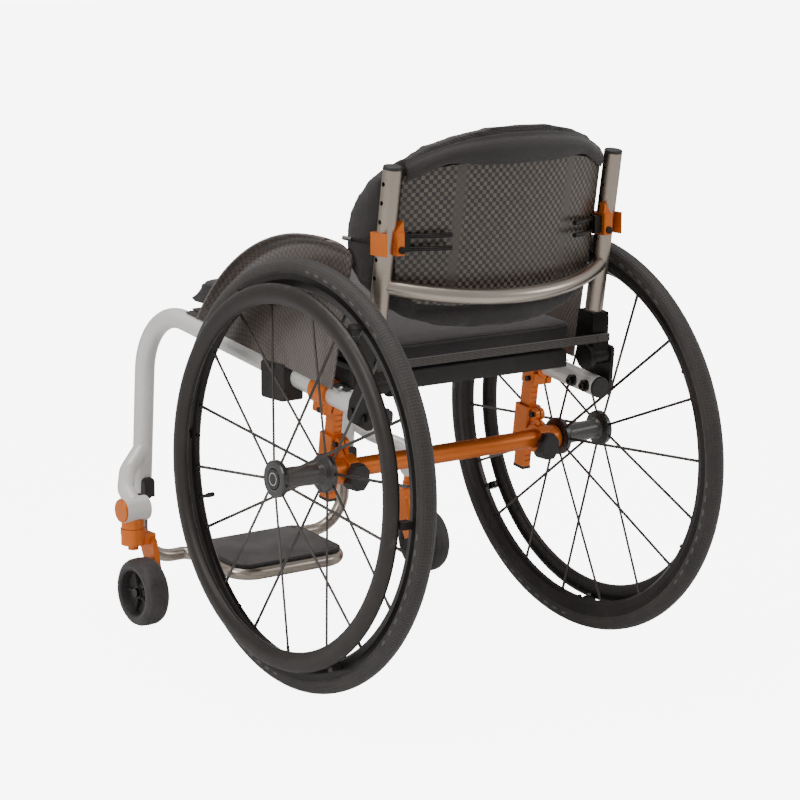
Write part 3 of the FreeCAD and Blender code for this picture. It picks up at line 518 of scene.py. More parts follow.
for side, hand in SIDES:
    push_rim, tree, shader, place = new_material("push_rim_" + hand)
    wheel = wheel_coordinates(tree, place, side)
    spun = add(tree, "ShaderNodeCombineXYZ", None,
               {0: maths(tree, "*", wheel["Angle"], 0.5),
                1: wheel["Radius"], 2: wheel["Across"]})
    made = group(tree, brushed, {"Vector": spun.outputs[0], "Streaks": (14.0, 2200.0, 2200.0),
                                 "Color": (0.040, 0.034, 0.031, 1),
                                 "Dark Color": (0.027, 0.023, 0.021, 1), "Roughness": 0.42})
    handled = noise(tree, place, 60.0, 6.0)
    polish = maths(tree, "*", span(tree, handled, 0.55, 0.72),
                   span(tree, wheel["Radius"], 0.255, 0.262))
    plug(tree, shader, made, 0.00002, mix(tree, maths(tree, "*", polish, 0.5),
                                          made["Color"], (0.10, 0.092, 0.085, 1)))
    tune(shader, Metallic=0.40)
    dress(push_rim, "dark_alloy", "handrim_" + hand)


# ---- Handrim screws ----------------------------------------------------------
# Six tabs join each handrim to its rim. A socket cap screw stands on the outer
# face of each tab, and its domed nut shows inside the rim's well.

bright_screw = coated("bright_screw", (0.42, 0.41, 0.40), (0.24, 0.23, 0.22), roughness=0.28,
                      metal=0.95, clouds=80.0, grains=2600.0, scuffs=0.4, depth=0.00002)


def cap_screw(radius, height):
    """A socket head with a chamfered rim, standing on its seat along +Z at the origin."""
    deselect()
    bpy.ops.mesh.primitive_cylinder_add(vertices=18, radius=radius, depth=height,
                                        location=(0, 0, height / 2))
    head = bpy.context.object
    apply_place()
    flag(head, faces=lambda f: f.normal.z > 0.9)
    bpy.ops.mesh.bevel(offset=radius * 0.16, segments=2, affect="EDGES")
    flag(head, faces=lambda f: f.normal.z > 0.9 and f.area > radius * radius)
    bpy.ops.mesh.inset(thickness=radius * 0.30)
    bpy.ops.mesh.extrude_region_move(TRANSFORM_OT_translate={"value": (0, 0, -height * 0.55)})
    bpy.ops.object.mode_set(mode="OBJECT")
    return head


def copies(master, places, name):
    """Copies of one piece, each with its own mesh, joined as one."""
    made = []
    for place in places:
        twin = master.copy()
        twin.data = master.data.copy()
        twin.matrix_world = place
        bpy.context.scene.collection.objects.link(twin)
        made.append(twin)
    bpy.data.objects.remove(master)
    deselect()
    for twin in made:
        twin.select_set(True)
    bpy.context.view_layer.objects.active = made[0]
    apply_place()
    if len(made) > 1:
        bpy.ops.object.join()
    made[0].name = name
    return made[0]


def facing(point, outward):
    """A place for a piece drawn along +Z, so that it points outward from that point."""
    return Matrix.Translation(point) @ Vector(outward).to_track_quat("Z", "Y").to_matrix().to_4x4()


def wheel_point(side, across, angle, radius):
    """From a wheel's own measures to the chair: angle in degrees from the top, forward."""
    a = math.radians(angle)
    flat = Vector((across, -radius * math.sin(a), radius * math.cos(a)))
    tipped = Matrix.Rotation(-CAMBER, 3, "Y") @ flat
    return Vector((side * (TRACK + tipped.x), AXLE.y + tipped.y, AXLE.z + tipped.z))


for side, hand, first in ((1, "left", 27.0), (-1, "right", -1.0)):
    for kind, across, radius, size, slot, metal in (
            ("tab_screws_", 0.019, 0.2545, 0.0034, "silver", bright_screw),
            ("tab_nuts_", 0.0, 0.2526, 0.0030, "bolt_black", screw_black)):
        seats = []
        for i in range(6):
            foot = wheel_point(side, across, first + 60.0 * i, radius)
            seats.append(facing(foot, wheel_point(side, across, first + 60.0 * i, 0.2300) - foot))
        heads = copies(cap_screw(size, size), seats, kind + hand)
        seat_piece(heads, kind + hand, "wheel_" + hand, metal)


# ---- Hubs --------------------------------------------------------------------
# Black flanges on a barrel wrapped in woven carbon under clear resin; a round
# push button with a plain pale ring fills the outer end of the axle.

checker, take, outlet = new_group(
    "checker_weave",
    (("Across", "value"), ("Along", "value"), ("Cell", "value"), ("Light Color", "colour"),
     ("Dark Color", "colour"), ("Haze", "value")),
    (("Color", "colour"), ("Roughness", "value"), ("Height", "value")))
u = maths(checker, "DIVIDE", take["Across"], take["Cell"])
v = maths(checker, "DIVIDE", take["Along"], take["Cell"])
u_cell, v_cell = maths(checker, "FLOOR", u), maths(checker, "FLOOR", v)
u_in, v_in = maths(checker, "FRACT", u), maths(checker, "FRACT", v)
parity = maths(checker, "FLOORED_MODULO", maths(checker, "+", u_cell, v_cell), 2.0)
over_u = maths(checker, "SINE", maths(checker, "*", u_in, math.pi))
over_v = maths(checker, "SINE", maths(checker, "*", v_in, math.pi))
dome = maths(checker, "SQRT", maths(checker, "*", over_u, over_v))
fibre_u = maths(checker, "SINE", maths(checker, "*", u_in, 2 * math.pi * 5))
fibre_v = maths(checker, "SINE", maths(checker, "*", v_in, 2 * math.pi * 5))
fibres = add(checker, "ShaderNodeMix", {"data_type": "FLOAT"},
             {"Factor": parity, 2: fibre_u, 3: fibre_v}).outputs[0]
cell_place = add(checker, "ShaderNodeCombineXYZ", None, {0: u_cell, 1: v_cell})
odd = add(checker, "ShaderNodeTexWhiteNoise", {"noise_dimensions": "2D"},
          {"Vector": cell_place.outputs[0]}).outputs["Value"]
light = maths(checker, "*", parity, span(checker, dome, 0.0, 0.35))
light = maths(checker, "*", light, maths(checker, "*+", odd, 0.35, 0.72))
# Haze washes the weave toward a flat mid tone; on the back shell it carries a painted reflection.
light = maths(checker, "*", light, maths(checker, "-", 1.0, take["Haze"]))
light = maths(checker, "+", light, maths(checker, "*", take["Haze"], 0.42))
light = maths(checker, "*+", fibres, 0.05, light)
give(checker, outlet, Color=mix(checker, light, take["Dark Color"], take["Light Color"]),
     Roughness=maths(checker, "*+", odd, 0.06, 0.30),
     Height=maths(checker, "*+", fibres, 0.08, dome))

for side, hand in SIDES:
    hub_finish, tree, shader, place = new_material("hub_finish_" + hand)
    wheel = wheel_coordinates(tree, place, side)
    woven = group(tree, checker, {
        "Across": maths(tree, "*", wheel["Angle"], 0.0159), "Along": wheel["Across"],
        "Cell": 0.0025, "Light Color": (0.11, 0.10, 0.09, 1),
        "Dark Color": (0.018, 0.015, 0.014, 1), "Haze": 0.65})
    plain = group(tree, coat_wear, {
        "Vector": place, "Color": (0.020, 0.017, 0.016, 1), "Worn Color": (0.12, 0.105, 0.098, 1),
        "Cloud Scale": 40.0, "Grain Scale": 2400.0, "Scuffs": 0.3, "Roughness": 0.34})
    barrel = span(tree, wheel["Radius"], 0.0165, 0.0172, 1.0, 0.0)
    tree.links.new(mix(tree, barrel, plain["Color"], woven["Color"]), shader.inputs["Base Color"])
    tree.links.new(plain["Roughness"], shader.inputs["Roughness"])
    dent = add(tree, "ShaderNodeBump", None,
               {"Height": maths(tree, "*", woven["Height"], barrel), "Distance": 0.0001})
    tree.links.new(dent.outputs[0], shader.inputs["Normal"])
    tune(shader, Coat_Weight=0.5, Coat_Roughness=0.18)
    dress(hub_finish, "dark_alloy", "hub_" + hand)

    button, tree, shader, place = new_material("button_" + hand)
    wheel = wheel_coordinates(tree, place, side)
    plain = group(tree, coat_wear, {
        "Vector": place, "Color": (0.016, 0.015, 0.015, 1), "Worn Color": (0.08, 0.075, 0.07, 1),
        "Cloud Scale": 60.0, "Grain Scale": 1800.0, "Scuffs": 0.5, "Roughness": 0.38})
    ring = span(tree, apart(tree, wheel["Radius"], 0.0082),
                0.0004, 0.0006, 1.0, 0.0)
    plug(tree, shader, plain, 0.00004, mix(tree, ring, plain["Color"], (0.62, 0.61, 0.60, 1)))
    dress(button, "black_plastic", "release_button_" + hand)

axle_steel = brushed_metal("axle_steel", (0.46, 0.45, 0.44), (0.30, 0.29, 0.28),
                           (60.0, 2600.0, 2600.0), 0.24, 0.00001)
dress(axle_steel, "silver", "quick_axle_*")


# ---- Casters -----------------------------------------------------------------
# Soft black rubber on a dished black nylon wheel with five ribs behind its rim,
# held by a black bolt in a single orange arm.

caster_rubber, tree, shader, place = new_material("caster_rubber")
height = add(tree, "ShaderNodeSeparateXYZ", None, {0: place}).outputs[0]
seam = apart(tree, maths(tree, "ABSOLUTE", height), 0.262)
relief = maths(tree, "+", span(tree, seam, 0.0002, 0.0005, 0.5, 0.0),
               span(tree, apart(tree, seam, 0.0115),
                    0.0003, 0.0007, 0.5, 0.0))
made = group(tree, rubber, {"Vector": place, "Color": (0.022, 0.0185, 0.0175, 1),
                            "Dust Color": (0.10, 0.09, 0.085, 1), "Relief": relief, "Dusty": 0.7})
plug(tree, shader, made, 0.0003)
tune(shader, Sheen_Weight=0.10)
dress(caster_rubber, "caster_rubber", "caster_tyre_*")
dress(nylon, "black_plastic", "caster_core_*")


def block(size, place=(0, 0, 0)):
    """A plain box of that size round a place."""
    deselect()
    bpy.ops.mesh.primitive_cube_add(size=1.0, location=place)
    made = bpy.context.object
    made.scale = size
    apply_place()
    return made


for side, hand in SIDES:
    rib = block((0.0078, 0.0030, 0.0215))
    flag(rib, faces=lambda f: f.normal.x > 0.9)
    bpy.ops.mesh.inset(thickness=0.0006)
    bpy.ops.mesh.extrude_region_move(TRANSFORM_OT_translate={"value": (0.0008, 0, 0)})
    flag(rib, edges=lambda a, b: abs(a.y - b.y) < 1e-6 and a.x < 0.0045 and b.x < 0.0045)
    bpy.ops.mesh.bevel(offset=0.0004, segments=2, affect="EDGES")
    bpy.ops.object.mode_set(mode="OBJECT")
    hub_place = Vector((side * 0.2665, -0.274, 0.051))
    seats = []
    for i in range(5):
        a = math.radians(72 * i + 20)
        seats.append(Matrix.Translation(hub_place) @ Matrix.Rotation(a, 4, "X")
                     @ Matrix.Translation((0, 0, 0.0212))
                     @ Matrix.Rotation(0 if side > 0 else math.pi, 4, "Z"))
    ribs = copies(rib, seats, "caster_ribs_" + hand)
    seat_piece(ribs, "caster_ribs_" + hand, "caster_wheel_" + hand, nylon)


# ---- Seat upholstery ---------------------------------------------------------
# A coated black nylon panel pulled tight along the top of the rails, cut away round the
# axle clamps and guard blocks, with a bound hem and a bright stud at each rear corner.

cloth, take, outlet = new_group(
    "cloth",
    (("Vector", "vector"), ("Thread", "value"), ("Color", "colour"), ("Lift Color", "colour"),
     ("Lint", "value"), ("Roughness", "value")),
    (("Color", "colour"), ("Roughness", "value"), ("Height", "value")))
pitch_by = maths(cloth, "DIVIDE", 2 * math.pi, take["Thread"])
spaced = add(cloth, "ShaderNodeVectorMath", {"operation": "SCALE"},
             {0: take["Vector"], "Scale": pitch_by})
waves = add(cloth, "ShaderNodeVectorMath", {"operation": "SINE"}, {0: spaced.outputs[0]})
wave = add(cloth, "ShaderNodeSeparateXYZ", None, {0: waves.outputs[0]}).outputs
crossing = maths(cloth, "+", maths(cloth, "*", wave[0], wave[1]),
                 maths(cloth, "+", maths(cloth, "*", wave[1], wave[2]),
                       maths(cloth, "*", wave[2], wave[0])))
yarn = span(cloth, crossing, -1.0, 1.0)
creases = noise(cloth, take["Vector"], 11.0, 4.0, 0.55)
fluff = noise(cloth, take["Vector"], 420.0, 3.0)
lifted = maths(cloth, "*", span(cloth, creases, 0.35, 0.70), take["Lint"])
lifted = maths(cloth, "+", lifted, maths(cloth, "*", yarn, 0.28))
lifted = maths(cloth, "*+", fluff, 0.14, lifted)
give(cloth, outlet, Color=mix(cloth, lifted, take["Color"], take["Lift Color"]),
     Roughness=maths(cloth, "*+", fluff, 0.12, take["Roughness"]),
     Height=maths(cloth, "*+", creases, 0.8, yarn))


def modified(piece, kind, **settings):
    """Applies one modifier to the active piece."""
    change = piece.modifiers.new(kind.lower(), kind)
    for label, value in settings.items():
        setattr(change, label, value)
    bpy.ops.object.modifier_apply(modifier=change.name)


def fabric(name, colour, lift, thread, lint, roughness, depth, sheen):
    """A woven or knitted cloth."""
    material, tree, shader, place = new_material(name)
    made = group(tree, cloth, {"Vector": place, "Thread": thread, "Color": (*colour, 1),
                               "Lift Color": (*lift, 1), "Lint": lint, "Roughness": roughness})
    plug(tree, shader, made, depth)
    tune(shader, Sheen_Weight=sheen, Sheen_Roughness=0.45)
    return material


nylon_cloth = fabric("nylon_cloth", (0.018, 0.0145, 0.0135), (0.046, 0.039, 0.036), thread=0.0012,
                     lint=0.35, roughness=0.62, depth=0.00025, sheen=0.15)

RAIL = 0.190


def rail_height(y):
    """Height of a side rail's centre."""
    return 0.399 - 0.139 * (y - 0.114)


def near_clamp(x, y):
    """Where the panel is cut away."""
    return abs(x) > 0.170 and (0.073 < y < 0.117 or -0.032 < y < 0.036)


BEND = 0.0166   # the panel's underside from a rail's centre
deselect()
bpy.ops.mesh.primitive_grid_add(x_subdivisions=64, y_subdivisions=76, size=1.0, location=(0, 0, 0))
sling = bpy.context.object
across_half, y_front, y_rear = 0.1964, -0.250, 0.148
for point in sling.data.vertices:
    x = point.co.x * 2 * across_half
    y = y_front + (point.co.y + 0.5) * (y_rear - y_front)
    a = max((abs(x) - RAIL) / BEND, 0.0)
    if a > 0:
        point.co = (math.copysign(RAIL + BEND * math.sin(a), x), y,
                    rail_height(y) + BEND * math.cos(a))
    else:
        point.co = (x, y, rail_height(y) + BEND)
flag(sling, faces=lambda f: near_clamp(f.center.x, f.center.y))
bpy.ops.mesh.delete(type="FACE")
bpy.ops.object.mode_set(mode="OBJECT")
modified(sling, "SOLIDIFY", thickness=0.0018, offset=1.0)
modified(sling, "BEVEL", width=0.0006, segments=2)
seat_piece(sling, "seat_panel", "frame", nylon_cloth, angle=50.0)
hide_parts("seat_sling")

stud_metal = coated("stud_metal", (0.82, 0.81, 0.80), (0.55, 0.54, 0.53), roughness=0.34,
                    metal=0.9, clouds=70.0, grains=2400.0, scuffs=0.3, depth=0.00002)
lean, stud_y = 0.34, 0.136
for side, hand in SIDES:
    deselect()
    bpy.ops.mesh.primitive_uv_sphere_add(segments=20, ring_count=12, radius=0.0036,
                                         location=(0, 0, 0))
    stud = bpy.context.object
    normal = Vector((side * math.sin(lean), 0.139 * math.cos(lean), math.cos(lean)))
    foot = Vector((side * (RAIL + 0.0180 * math.sin(lean)), stud_y,
                   rail_height(stud_y) + 0.0180 * math.cos(lean)))
    for point in stud.data.vertices:
        point.co.z *= 0.55
    seat_piece(copies(stud, [facing(foot, normal)], "panel_stud_" + hand), "panel_stud_" + hand,
               "frame", stud_metal)


# ---- Cushion base ------------------------------------------------------------
# A firm foam wedge in a black cover that levels the cushion on the sloping
# rails; thick at the back edge and almost nothing at the front.

def seat_height(y):
    """Height of the cushion's underside."""
    return 0.433 + 0.088 * (0.194 - y)


deselect()
bpy.ops.mesh.primitive_cube_add(size=1.0, location=(0, 0, 0))
base = bpy.context.object
base.data.clear_geometry()
plan = ((-0.2495, 0.1855), (0.150, 0.1855), (0.1505, 0.167), (0.179, 0.167))
outline = [(-x, y) for y, x in plan] + [(x, y) for y, x in reversed(plan)]
low = [(x, y, min(rail_height(y) + 0.0192, seat_height(y) - 0.0036)) for x, y in outline]
high = [(x, y, seat_height(y) - 0.0006) for x, y in outline]
count = len(outline)
sides = [(i, (i + 1) % count, (i + 1) % count + count, i + count) for i in range(count)]
base.data.from_pydata(low + high, [], [tuple(reversed(range(count))),
                                       tuple(range(count, 2 * count))] + sides)
base.data.update()
flag(base, edges=lambda a, b: True)
bpy.ops.mesh.bevel(offset=0.0016, segments=3, affect="EDGES")
flag(base, faces=lambda f: abs(f.normal.x) > 0.9 or f.normal.y > 0.9)
bpy.ops.mesh.inset(thickness=0.0012, depth=0.0006)
bpy.ops.object.mode_set(mode="OBJECT")
seat_piece(base, "cushion_base", "frame", nylon_cloth)


# ---- Seat cushion ------------------------------------------------------------
# Contoured foam in a stretch cover: a top panel that crowns a little, painted lighter grey than
# the black sides as painted light from above; sides drawn in between the corners, piping round the
# top seam.

def stuffed(node, name, voxel, shrink, rounds, cap):
    """A padded form: the part's own shape, remeshed, drawn in and blown up as cloth."""
    mesh = nodes[node].data.copy()
    piece = bpy.data.objects.new(name, mesh)
    bpy.context.scene.collection.objects.link(piece)
    select_only(piece)
    bpy.ops.object.mode_set(mode="EDIT")
    bpy.ops.mesh.select_all(action="SELECT")
    bpy.ops.mesh.remove_doubles(threshold=0.00002)
    bpy.ops.object.mode_set(mode="OBJECT")
    modified(piece, "REMESH", mode="VOXEL", voxel_size=voxel)
    modified(piece, "SMOOTH", factor=0.5, iterations=rounds)
    modified(piece, "DISPLACE", strength=-shrink, mid_level=0.0)
    rest = [point.co.copy() for point in piece.data.vertices]
    puff = piece.modifiers.new("puff", "CLOTH")
    puff.settings.use_pressure = True
    puff.settings.uniform_pressure_force = 4.0
    puff.settings.effector_weights.gravity = 0.0
    puff.settings.quality = 5
    scene = bpy.context.scene
    for step in range(1, 21):
        scene.frame_set(step)
    shaped = piece.evaluated_get(bpy.context.evaluated_depsgraph_get())
    blown = [point.co.copy() for point in shaped.data.vertices]
    piece.modifiers.remove(puff)
    scene.frame_set(1)
    for point, start, end in zip(piece.data.vertices, rest, blown):
        shift = end - start
        most = cap(start)
        if shift.length > most:
            shift *= most / shift.length
        point.co = start + shift
    modified(piece, "SMOOTH", factor=0.5, iterations=3)
    modified(piece, "SUBSURF", levels=1, render_levels=1)
    return piece


def cord_round(name, points, radius, closed, material, body):
    """A thin round seam cord through those points."""
    line = bpy.data.curves.new(name, "CURVE")
    line.dimensions = "3D"
    line.bevel_depth = radius
    line.bevel_resolution = 2
    line.use_fill_caps = True
    run = line.splines.new("NURBS")
    run.points.add(len(points) - 1)
    for holder, point in zip(run.points, points):
        holder.co = (*point, 1.0)
    run.order_u = 4
    run.use_cyclic_u = closed
    run.use_endpoint_u = not closed
    line.resolution_u = 2
    piece = bpy.data.objects.new(name, line)
    bpy.context.scene.collection.objects.link(piece)
    select_only(piece)
    bpy.ops.object.convert(target="MESH")
    return seat_piece(bpy.context.object, name, body, material, angle=60.0)


cushion = stuffed("seat_cushion", "seat_cushion_cover", voxel=0.006, shrink=0.0035, rounds=3,
                  cap=lambda p: 0.0045 if p.z > seat_height(p.y) + 0.012 else 0.0008)

top_cloth, tree, shader, place = new_material("cushion_cloth")
made = group(tree, cloth, {"Vector": place, "Thread": 0.0011, "Color": (0.046, 0.038, 0.037, 1),
                           "Lift Color": (0.090, 0.077, 0.074, 1), "Lint": 0.45, "Roughness": 0.66})
side_made = group(tree, cloth, {"Vector": place, "Thread": 0.0013,
                                "Color": (0.016, 0.0125, 0.0120, 1),
                                "Lift Color": (0.042, 0.035, 0.033, 1), "Lint": 0.35,
                                "Roughness": 0.64})
# Painted light: the top panel gets a lighter grey than the sides, standing in for light falling on
# it from above.
spot = add(tree, "ShaderNodeSeparateXYZ", None, {0: place}).outputs
seam_height = maths(tree, "*+", spot[1], 0.088, maths(tree, "-", spot[2], 0.4862))
painted_lit_top = span(tree, seam_height, -0.0006, 0.0006)
plug(tree, shader, made, 0.0003, mix(tree, painted_lit_top, side_made["Color"], made["Color"]))
tune(shader, Sheen_Weight=0.22, Sheen_Roughness=0.4)
seat_piece(cushion, "seat_cushion_cover", "frame", top_cloth, angle=70.0)
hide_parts("seat_cushion")

bpy.context.view_layer.update()
seam_points = []
for i in range(120):
    a = 2 * math.pi * i / 120
    c, s = math.cos(a), math.sin(a)
    x = math.copysign(abs(c) ** 0.16, c) * 0.176
    y = -0.044 + math.copysign(abs(s) ** 0.16, s) * 0.236
    z = 0.4862 - 0.088 * y
    found, hit, normal, index = cushion.closest_point_on_mesh(Vector((x, y, z)))
    seam_points.append(Vector((hit.x, hit.y, hit.z)) + normal * 0.0004)
piping_cloth = fabric("piping_cloth", (0.020, 0.017, 0.016), (0.058, 0.050, 0.047), thread=0.0008,
                      lint=0.2, roughness=0.55, depth=0.0001, sheen=0.2)
cord_round("cushion_piping", seam_points, 0.0013, True, piping_cloth, "frame")


# ---- Side guards -------------------------------------------------------------
# Moulded carbon panels just inside the wheels whose top edge curls out over the
# tyre as a fender; the checker cloth follows the curl under clear resin.

for side, hand in SIDES:
    guard, tree, shader, place = new_material("guard_carbon_" + hand)
    wheel = wheel_coordinates(tree, place, side)
    woven = group(tree, checker, {
        "Across": maths(tree, "*", wheel["Angle"], 0.30),
        "Along": maths(tree, "+", wheel["Radius"], wheel["Across"]),
        "Cell": 0.0053, "Light Color": (0.185, 0.152, 0.132, 1),
        "Dark Color": (0.090, 0.073, 0.065, 1), "Haze": 0.30})
    plug(tree, shader, woven, 0.00008)
    tune(shader, Coat_Weight=0.55, Coat_Roughness=0.22)
    dress(guard, "carbon", "side_guard_" + hand)


# ---- Back shell --------------------------------------------------------------
# A curved carbon shell, checker cloth under satin resin, with a painted reflection down each
# side where it turns forward that washes the weave to a flat tone, and a plain resin edge.

shell_carbon, tree, shader, place = new_material("shell_carbon")
spot = add(tree, "ShaderNodeSeparateXYZ", None, {0: place}).outputs
# Painted reflection: a band down each side where the weave is washed to a flat tone, standing in
# for the gloss catching light where the shell turns forward; random veiling is added to it.
painted_reflection_band = span(tree, apart(tree, maths(tree, "ABSOLUTE", spot[0]),
                                                  0.0935), 0.003, 0.012, 1.0, 0.0)
veil = noise(tree, place, 14.0, 3.0)
haze = maths(tree, "MAXIMUM", maths(tree, "*", painted_reflection_band, 0.85),
             span(tree, veil, 0.45, 0.75, 0.0, 0.25))
arc = maths(tree, "*", maths(tree, "ARCSINE", maths(tree, "DIVIDE", spot[0], 0.400)), 0.400)
woven = group(tree, checker, {
    "Across": arc, "Along": spot[2], "Cell": 0.0056, "Light Color": (0.150, 0.122, 0.094, 1),
    "Dark Color": (0.014, 0.011, 0.010, 1), "Haze": haze})
plug(tree, shader, woven, 0.00008)
tune(shader, Coat_Weight=0.30, Coat_Roughness=0.32)
dress(shell_carbon, "carbon", "back_shell")


# ---- Back pad ----------------------------------------------------------------
# Contoured foam in front of the shell with wings at the sides. Plain stretch
# cloth, with a gusset of ribbed spacer mesh round its upper edge, and bound seams.

def pad_cap(p):
    """The cover may swell where nothing is near it, but not against the shell or canes."""
    lean = 0.155 * (p.z - 0.620)
    if abs(p.x) < 0.172 and p.y > 0.232 + lean and 0.52 < p.z < 0.73:
        return 0.0004
    away = math.hypot(abs(p.x) - 0.190, p.y - (0.2276 + lean))
    return min(0.0045, max(0.0004, away - 0.024))


pad = stuffed("back_pad", "back_pad_cover", voxel=0.005, shrink=0.0035, rounds=4, cap=pad_cap)

pad_cloth, tree, shader, place = new_material("pad_cloth")
spot = add(tree, "ShaderNodeSeparateXYZ", None, {0: place}).outputs
plain = group(tree, cloth, {"Vector": place, "Thread": 0.0012, "Color": (0.019, 0.0148, 0.0142, 1),
                            "Lift Color": (0.046, 0.0385, 0.036, 1), "Lint": 0.40,
                            "Roughness": 0.66})
rib = maths(tree, "SINE", maths(tree, "*", spot[0], 2 * math.pi / 0.0026))
cross = maths(tree, "SINE", maths(tree, "*", maths(tree, "+", spot[1], spot[2]),
                                  2 * math.pi / 0.0030))
mesh_holes = maths(tree, "*+", cross, 0.35, maths(tree, "*", rib, 0.65))
outer = maths(tree, "POWER", maths(tree, "ABSOLUTE", maths(tree, "DIVIDE", spot[0], 0.155)), 2.5)
seam_line = maths(tree, "*+", outer, -0.028, 0.757)
gusset = span(tree, maths(tree, "-", spot[2], seam_line), -0.0008, 0.0008)
gusset = maths(tree, "*", gusset, span(tree, spot[2], 0.640, 0.700))
mesh_colour = mix(tree, span(tree, mesh_holes, -0.5, 0.6), (0.012, 0.0095, 0.009, 1),
                  (0.052, 0.043, 0.040, 1))
relief = add(tree, "ShaderNodeMix", {"data_type": "FLOAT"},
             {"Factor": gusset, 2: plain["Height"], 3: mesh_holes}).outputs[0]
bump = add(tree, "ShaderNodeBump", None, {"Height": relief, "Distance": 0.0004})
tree.links.new(mix(tree, gusset, plain["Color"], mesh_colour), shader.inputs["Base Color"])
tree.links.new(plain["Roughness"], shader.inputs["Roughness"])
tree.links.new(bump.outputs[0], shader.inputs["Normal"])
tune(shader, Sheen_Weight=0.20, Sheen_Roughness=0.45)
seat_piece(pad, "back_pad_cover", "backrest", pad_cloth, angle=70.0)
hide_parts("back_pad")


# ---- Pocket over the shell's top ---------------------------------------------
# A flap of plain stretch cloth sewn to the pad's gusset and pulled down over the
# top edge of the shell; its hem dips to the shell's corners.

SHELL_R = 0.400


def seam_of(x):
    """Height of the seam between pad and pocket."""
    return 0.7575 - 0.028 * (abs(x) / 0.155) ** 2.5


def shell_back(x, z):
    """How far back the shell's rear face is."""
    return 0.264 + 0.155 * (z - 0.620) - SHELL_R + math.sqrt(SHELL_R ** 2 - x * x)


deselect()
bpy.ops.mesh.primitive_grid_add(x_subdivisions=72, y_subdivisions=16, size=1.0, location=(0, 0, 0))
pocket = bpy.context.object
for point in pocket.data.vertices:
    x, t = point.co.x * 0.338, point.co.y + 0.5
    hem = (0.7165 + 0.004 * math.exp(-((abs(x) - 0.105) / 0.03) ** 2)
           - 0.75 * max(abs(x) - 0.118, 0) ** 1.22)
    z = hem + (seam_of(x) - hem) * t
    puff = (0.0022 + 0.0075 * math.sin(math.pi * min(t * 1.15, 1.0))
            * (1 - 0.5 * (abs(x) / 0.169) ** 4))
    point.co = (x, shell_back(x, z) + puff - 0.0045 * max(t - 0.75, 0) / 0.25, z)
modified(pocket, "SOLIDIFY", thickness=0.0014, offset=0.0)
modified(pocket, "SUBSURF", levels=1, render_levels=1)
bpy.ops.object.mode_set(mode="EDIT")
bpy.ops.mesh.select_all(action="SELECT")
bpy.ops.mesh.normals_make_consistent(inside=False)
pocket_cloth = fabric("pocket_cloth", (0.019, 0.0148, 0.0142), (0.044, 0.037, 0.035), thread=0.0012,
                      lint=0.4, roughness=0.66, depth=0.00025, sheen=0.2)
seat_piece(pocket, "shell_pocket", "backrest", pocket_cloth, angle=60.0)

bpy.context.view_layer.update()
binding = []
for i in range(61):
    x = -0.160 + 0.320 * i / 60
    z = seam_of(x)
    found, hit, normal, index = pad.closest_point_on_mesh(Vector((x, shell_back(x, z) + 0.004, z)))
    binding.append(hit + normal * 0.0008)
cord_round("pad_binding", binding, 0.0014, False, piping_cloth, "backrest")


# ---- Back fittings -----------------------------------------------------------
# A bright threaded sleeve ends each rod that steadies the pad's wing.

reach, rod_z = 0.0198, 0.618
rod_y = 0.1286 + 0.155 * (rod_z - 0.7168) + 0.114 - 0.0781
for side, hand in SIDES:
    deselect()
    bpy.ops.mesh.primitive_cylinder_add(vertices=24, radius=0.0031, depth=reach,
                                        location=(side * 0.2006, rod_y + reach / 2, rod_z),
                                        rotation=(math.pi / 2, 0, 0))
    sleeve = bpy.context.object
    apply_place()
    flag(sleeve, faces=lambda f: abs(f.normal.y) > 0.9)
    bpy.ops.mesh.inset(thickness=0.0006)
    bpy.ops.mesh.extrude_region_move(TRANSFORM_OT_translate={"value": (0, 0, 0)})
    flag(sleeve, faces=lambda f: abs(f.normal.y) < 0.2)
    bpy.ops.mesh.subdivide(number_cuts=1)
    bpy.ops.object.mode_set(mode="OBJECT")
    seat_piece(sleeve, "rod_sleeve_" + hand, "backrest", bright_screw)


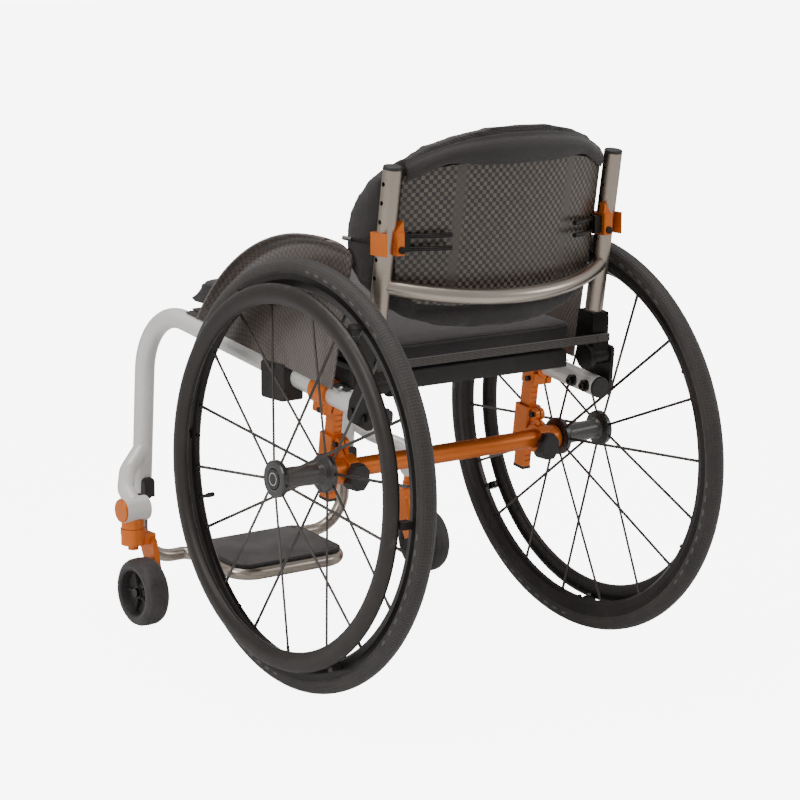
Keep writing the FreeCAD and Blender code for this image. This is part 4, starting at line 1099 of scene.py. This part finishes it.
# ---- Release strap -----------------------------------------------------------
# Flat dark grey webbing pulled tight between the two back hinges, with a folded
# edge and a tab stitched round a pin at each end.

webbing, tree, shader, place = new_material("webbing")
spot = add(tree, "ShaderNodeSeparateXYZ", None, {0: place}).outputs
slant = maths(tree, "*", maths(tree, "+", spot[0], spot[2]), 2 * math.pi / 0.0042)
back_slant = maths(tree, "*", maths(tree, "-", spot[0], spot[2]), 2 * math.pi / 0.0042)
twill = maths(tree, "*", maths(tree, "SINE", slant), maths(tree, "SINE", back_slant))
fuzz = noise(tree, place, 500.0, 3.0)
lip = span(tree, spot[2], 0.4598, 0.4604)
strap_colour = mix(tree, span(tree, twill, -0.4, 0.5), (0.032, 0.028, 0.026, 1),
                   (0.120, 0.108, 0.100, 1))
strap_colour = mix(tree, maths(tree, "*", lip, 0.8), strap_colour, (0.19, 0.18, 0.175, 1))
bump = add(tree, "ShaderNodeBump", None,
           {"Height": maths(tree, "*+", fuzz, 0.3, twill), "Distance": 0.0003})
tree.links.new(strap_colour, shader.inputs["Base Color"])
tree.links.new(maths(tree, "*+", fuzz, 0.2, 0.55), shader.inputs["Roughness"])
tree.links.new(bump.outputs[0], shader.inputs["Normal"])

strap_low, strap_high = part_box("release_strap")
strap = block((0.405, 0.0017, 0.0118), (strap_low + strap_high) / 2)
flag(strap, edges=lambda a, b: abs(a.x - b.x) > 0.1)
bpy.ops.mesh.bevel(offset=0.0005, segments=2, affect="EDGES")
flag(strap, faces=lambda f: abs(f.normal.x) > 0.9)
bpy.ops.mesh.inset(thickness=0.0002)
bpy.ops.object.mode_set(mode="OBJECT")
seat_piece(strap, "release_webbing", "backrest", webbing)
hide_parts("release_strap")

fold_seats = [Matrix.Translation((side * 0.192, strap_high.y + 0.0009, 0.455)) for side in (1, -1)]
fold = block((0.021, 0.0016, 0.0104))
flag(fold, edges=lambda a, b: True)
bpy.ops.mesh.bevel(offset=0.0005, segments=2, affect="EDGES")
bpy.ops.object.mode_set(mode="OBJECT")
folds = copies(fold, fold_seats, "strap_folds")
seat_piece(folds, "strap_folds", "backrest", webbing)
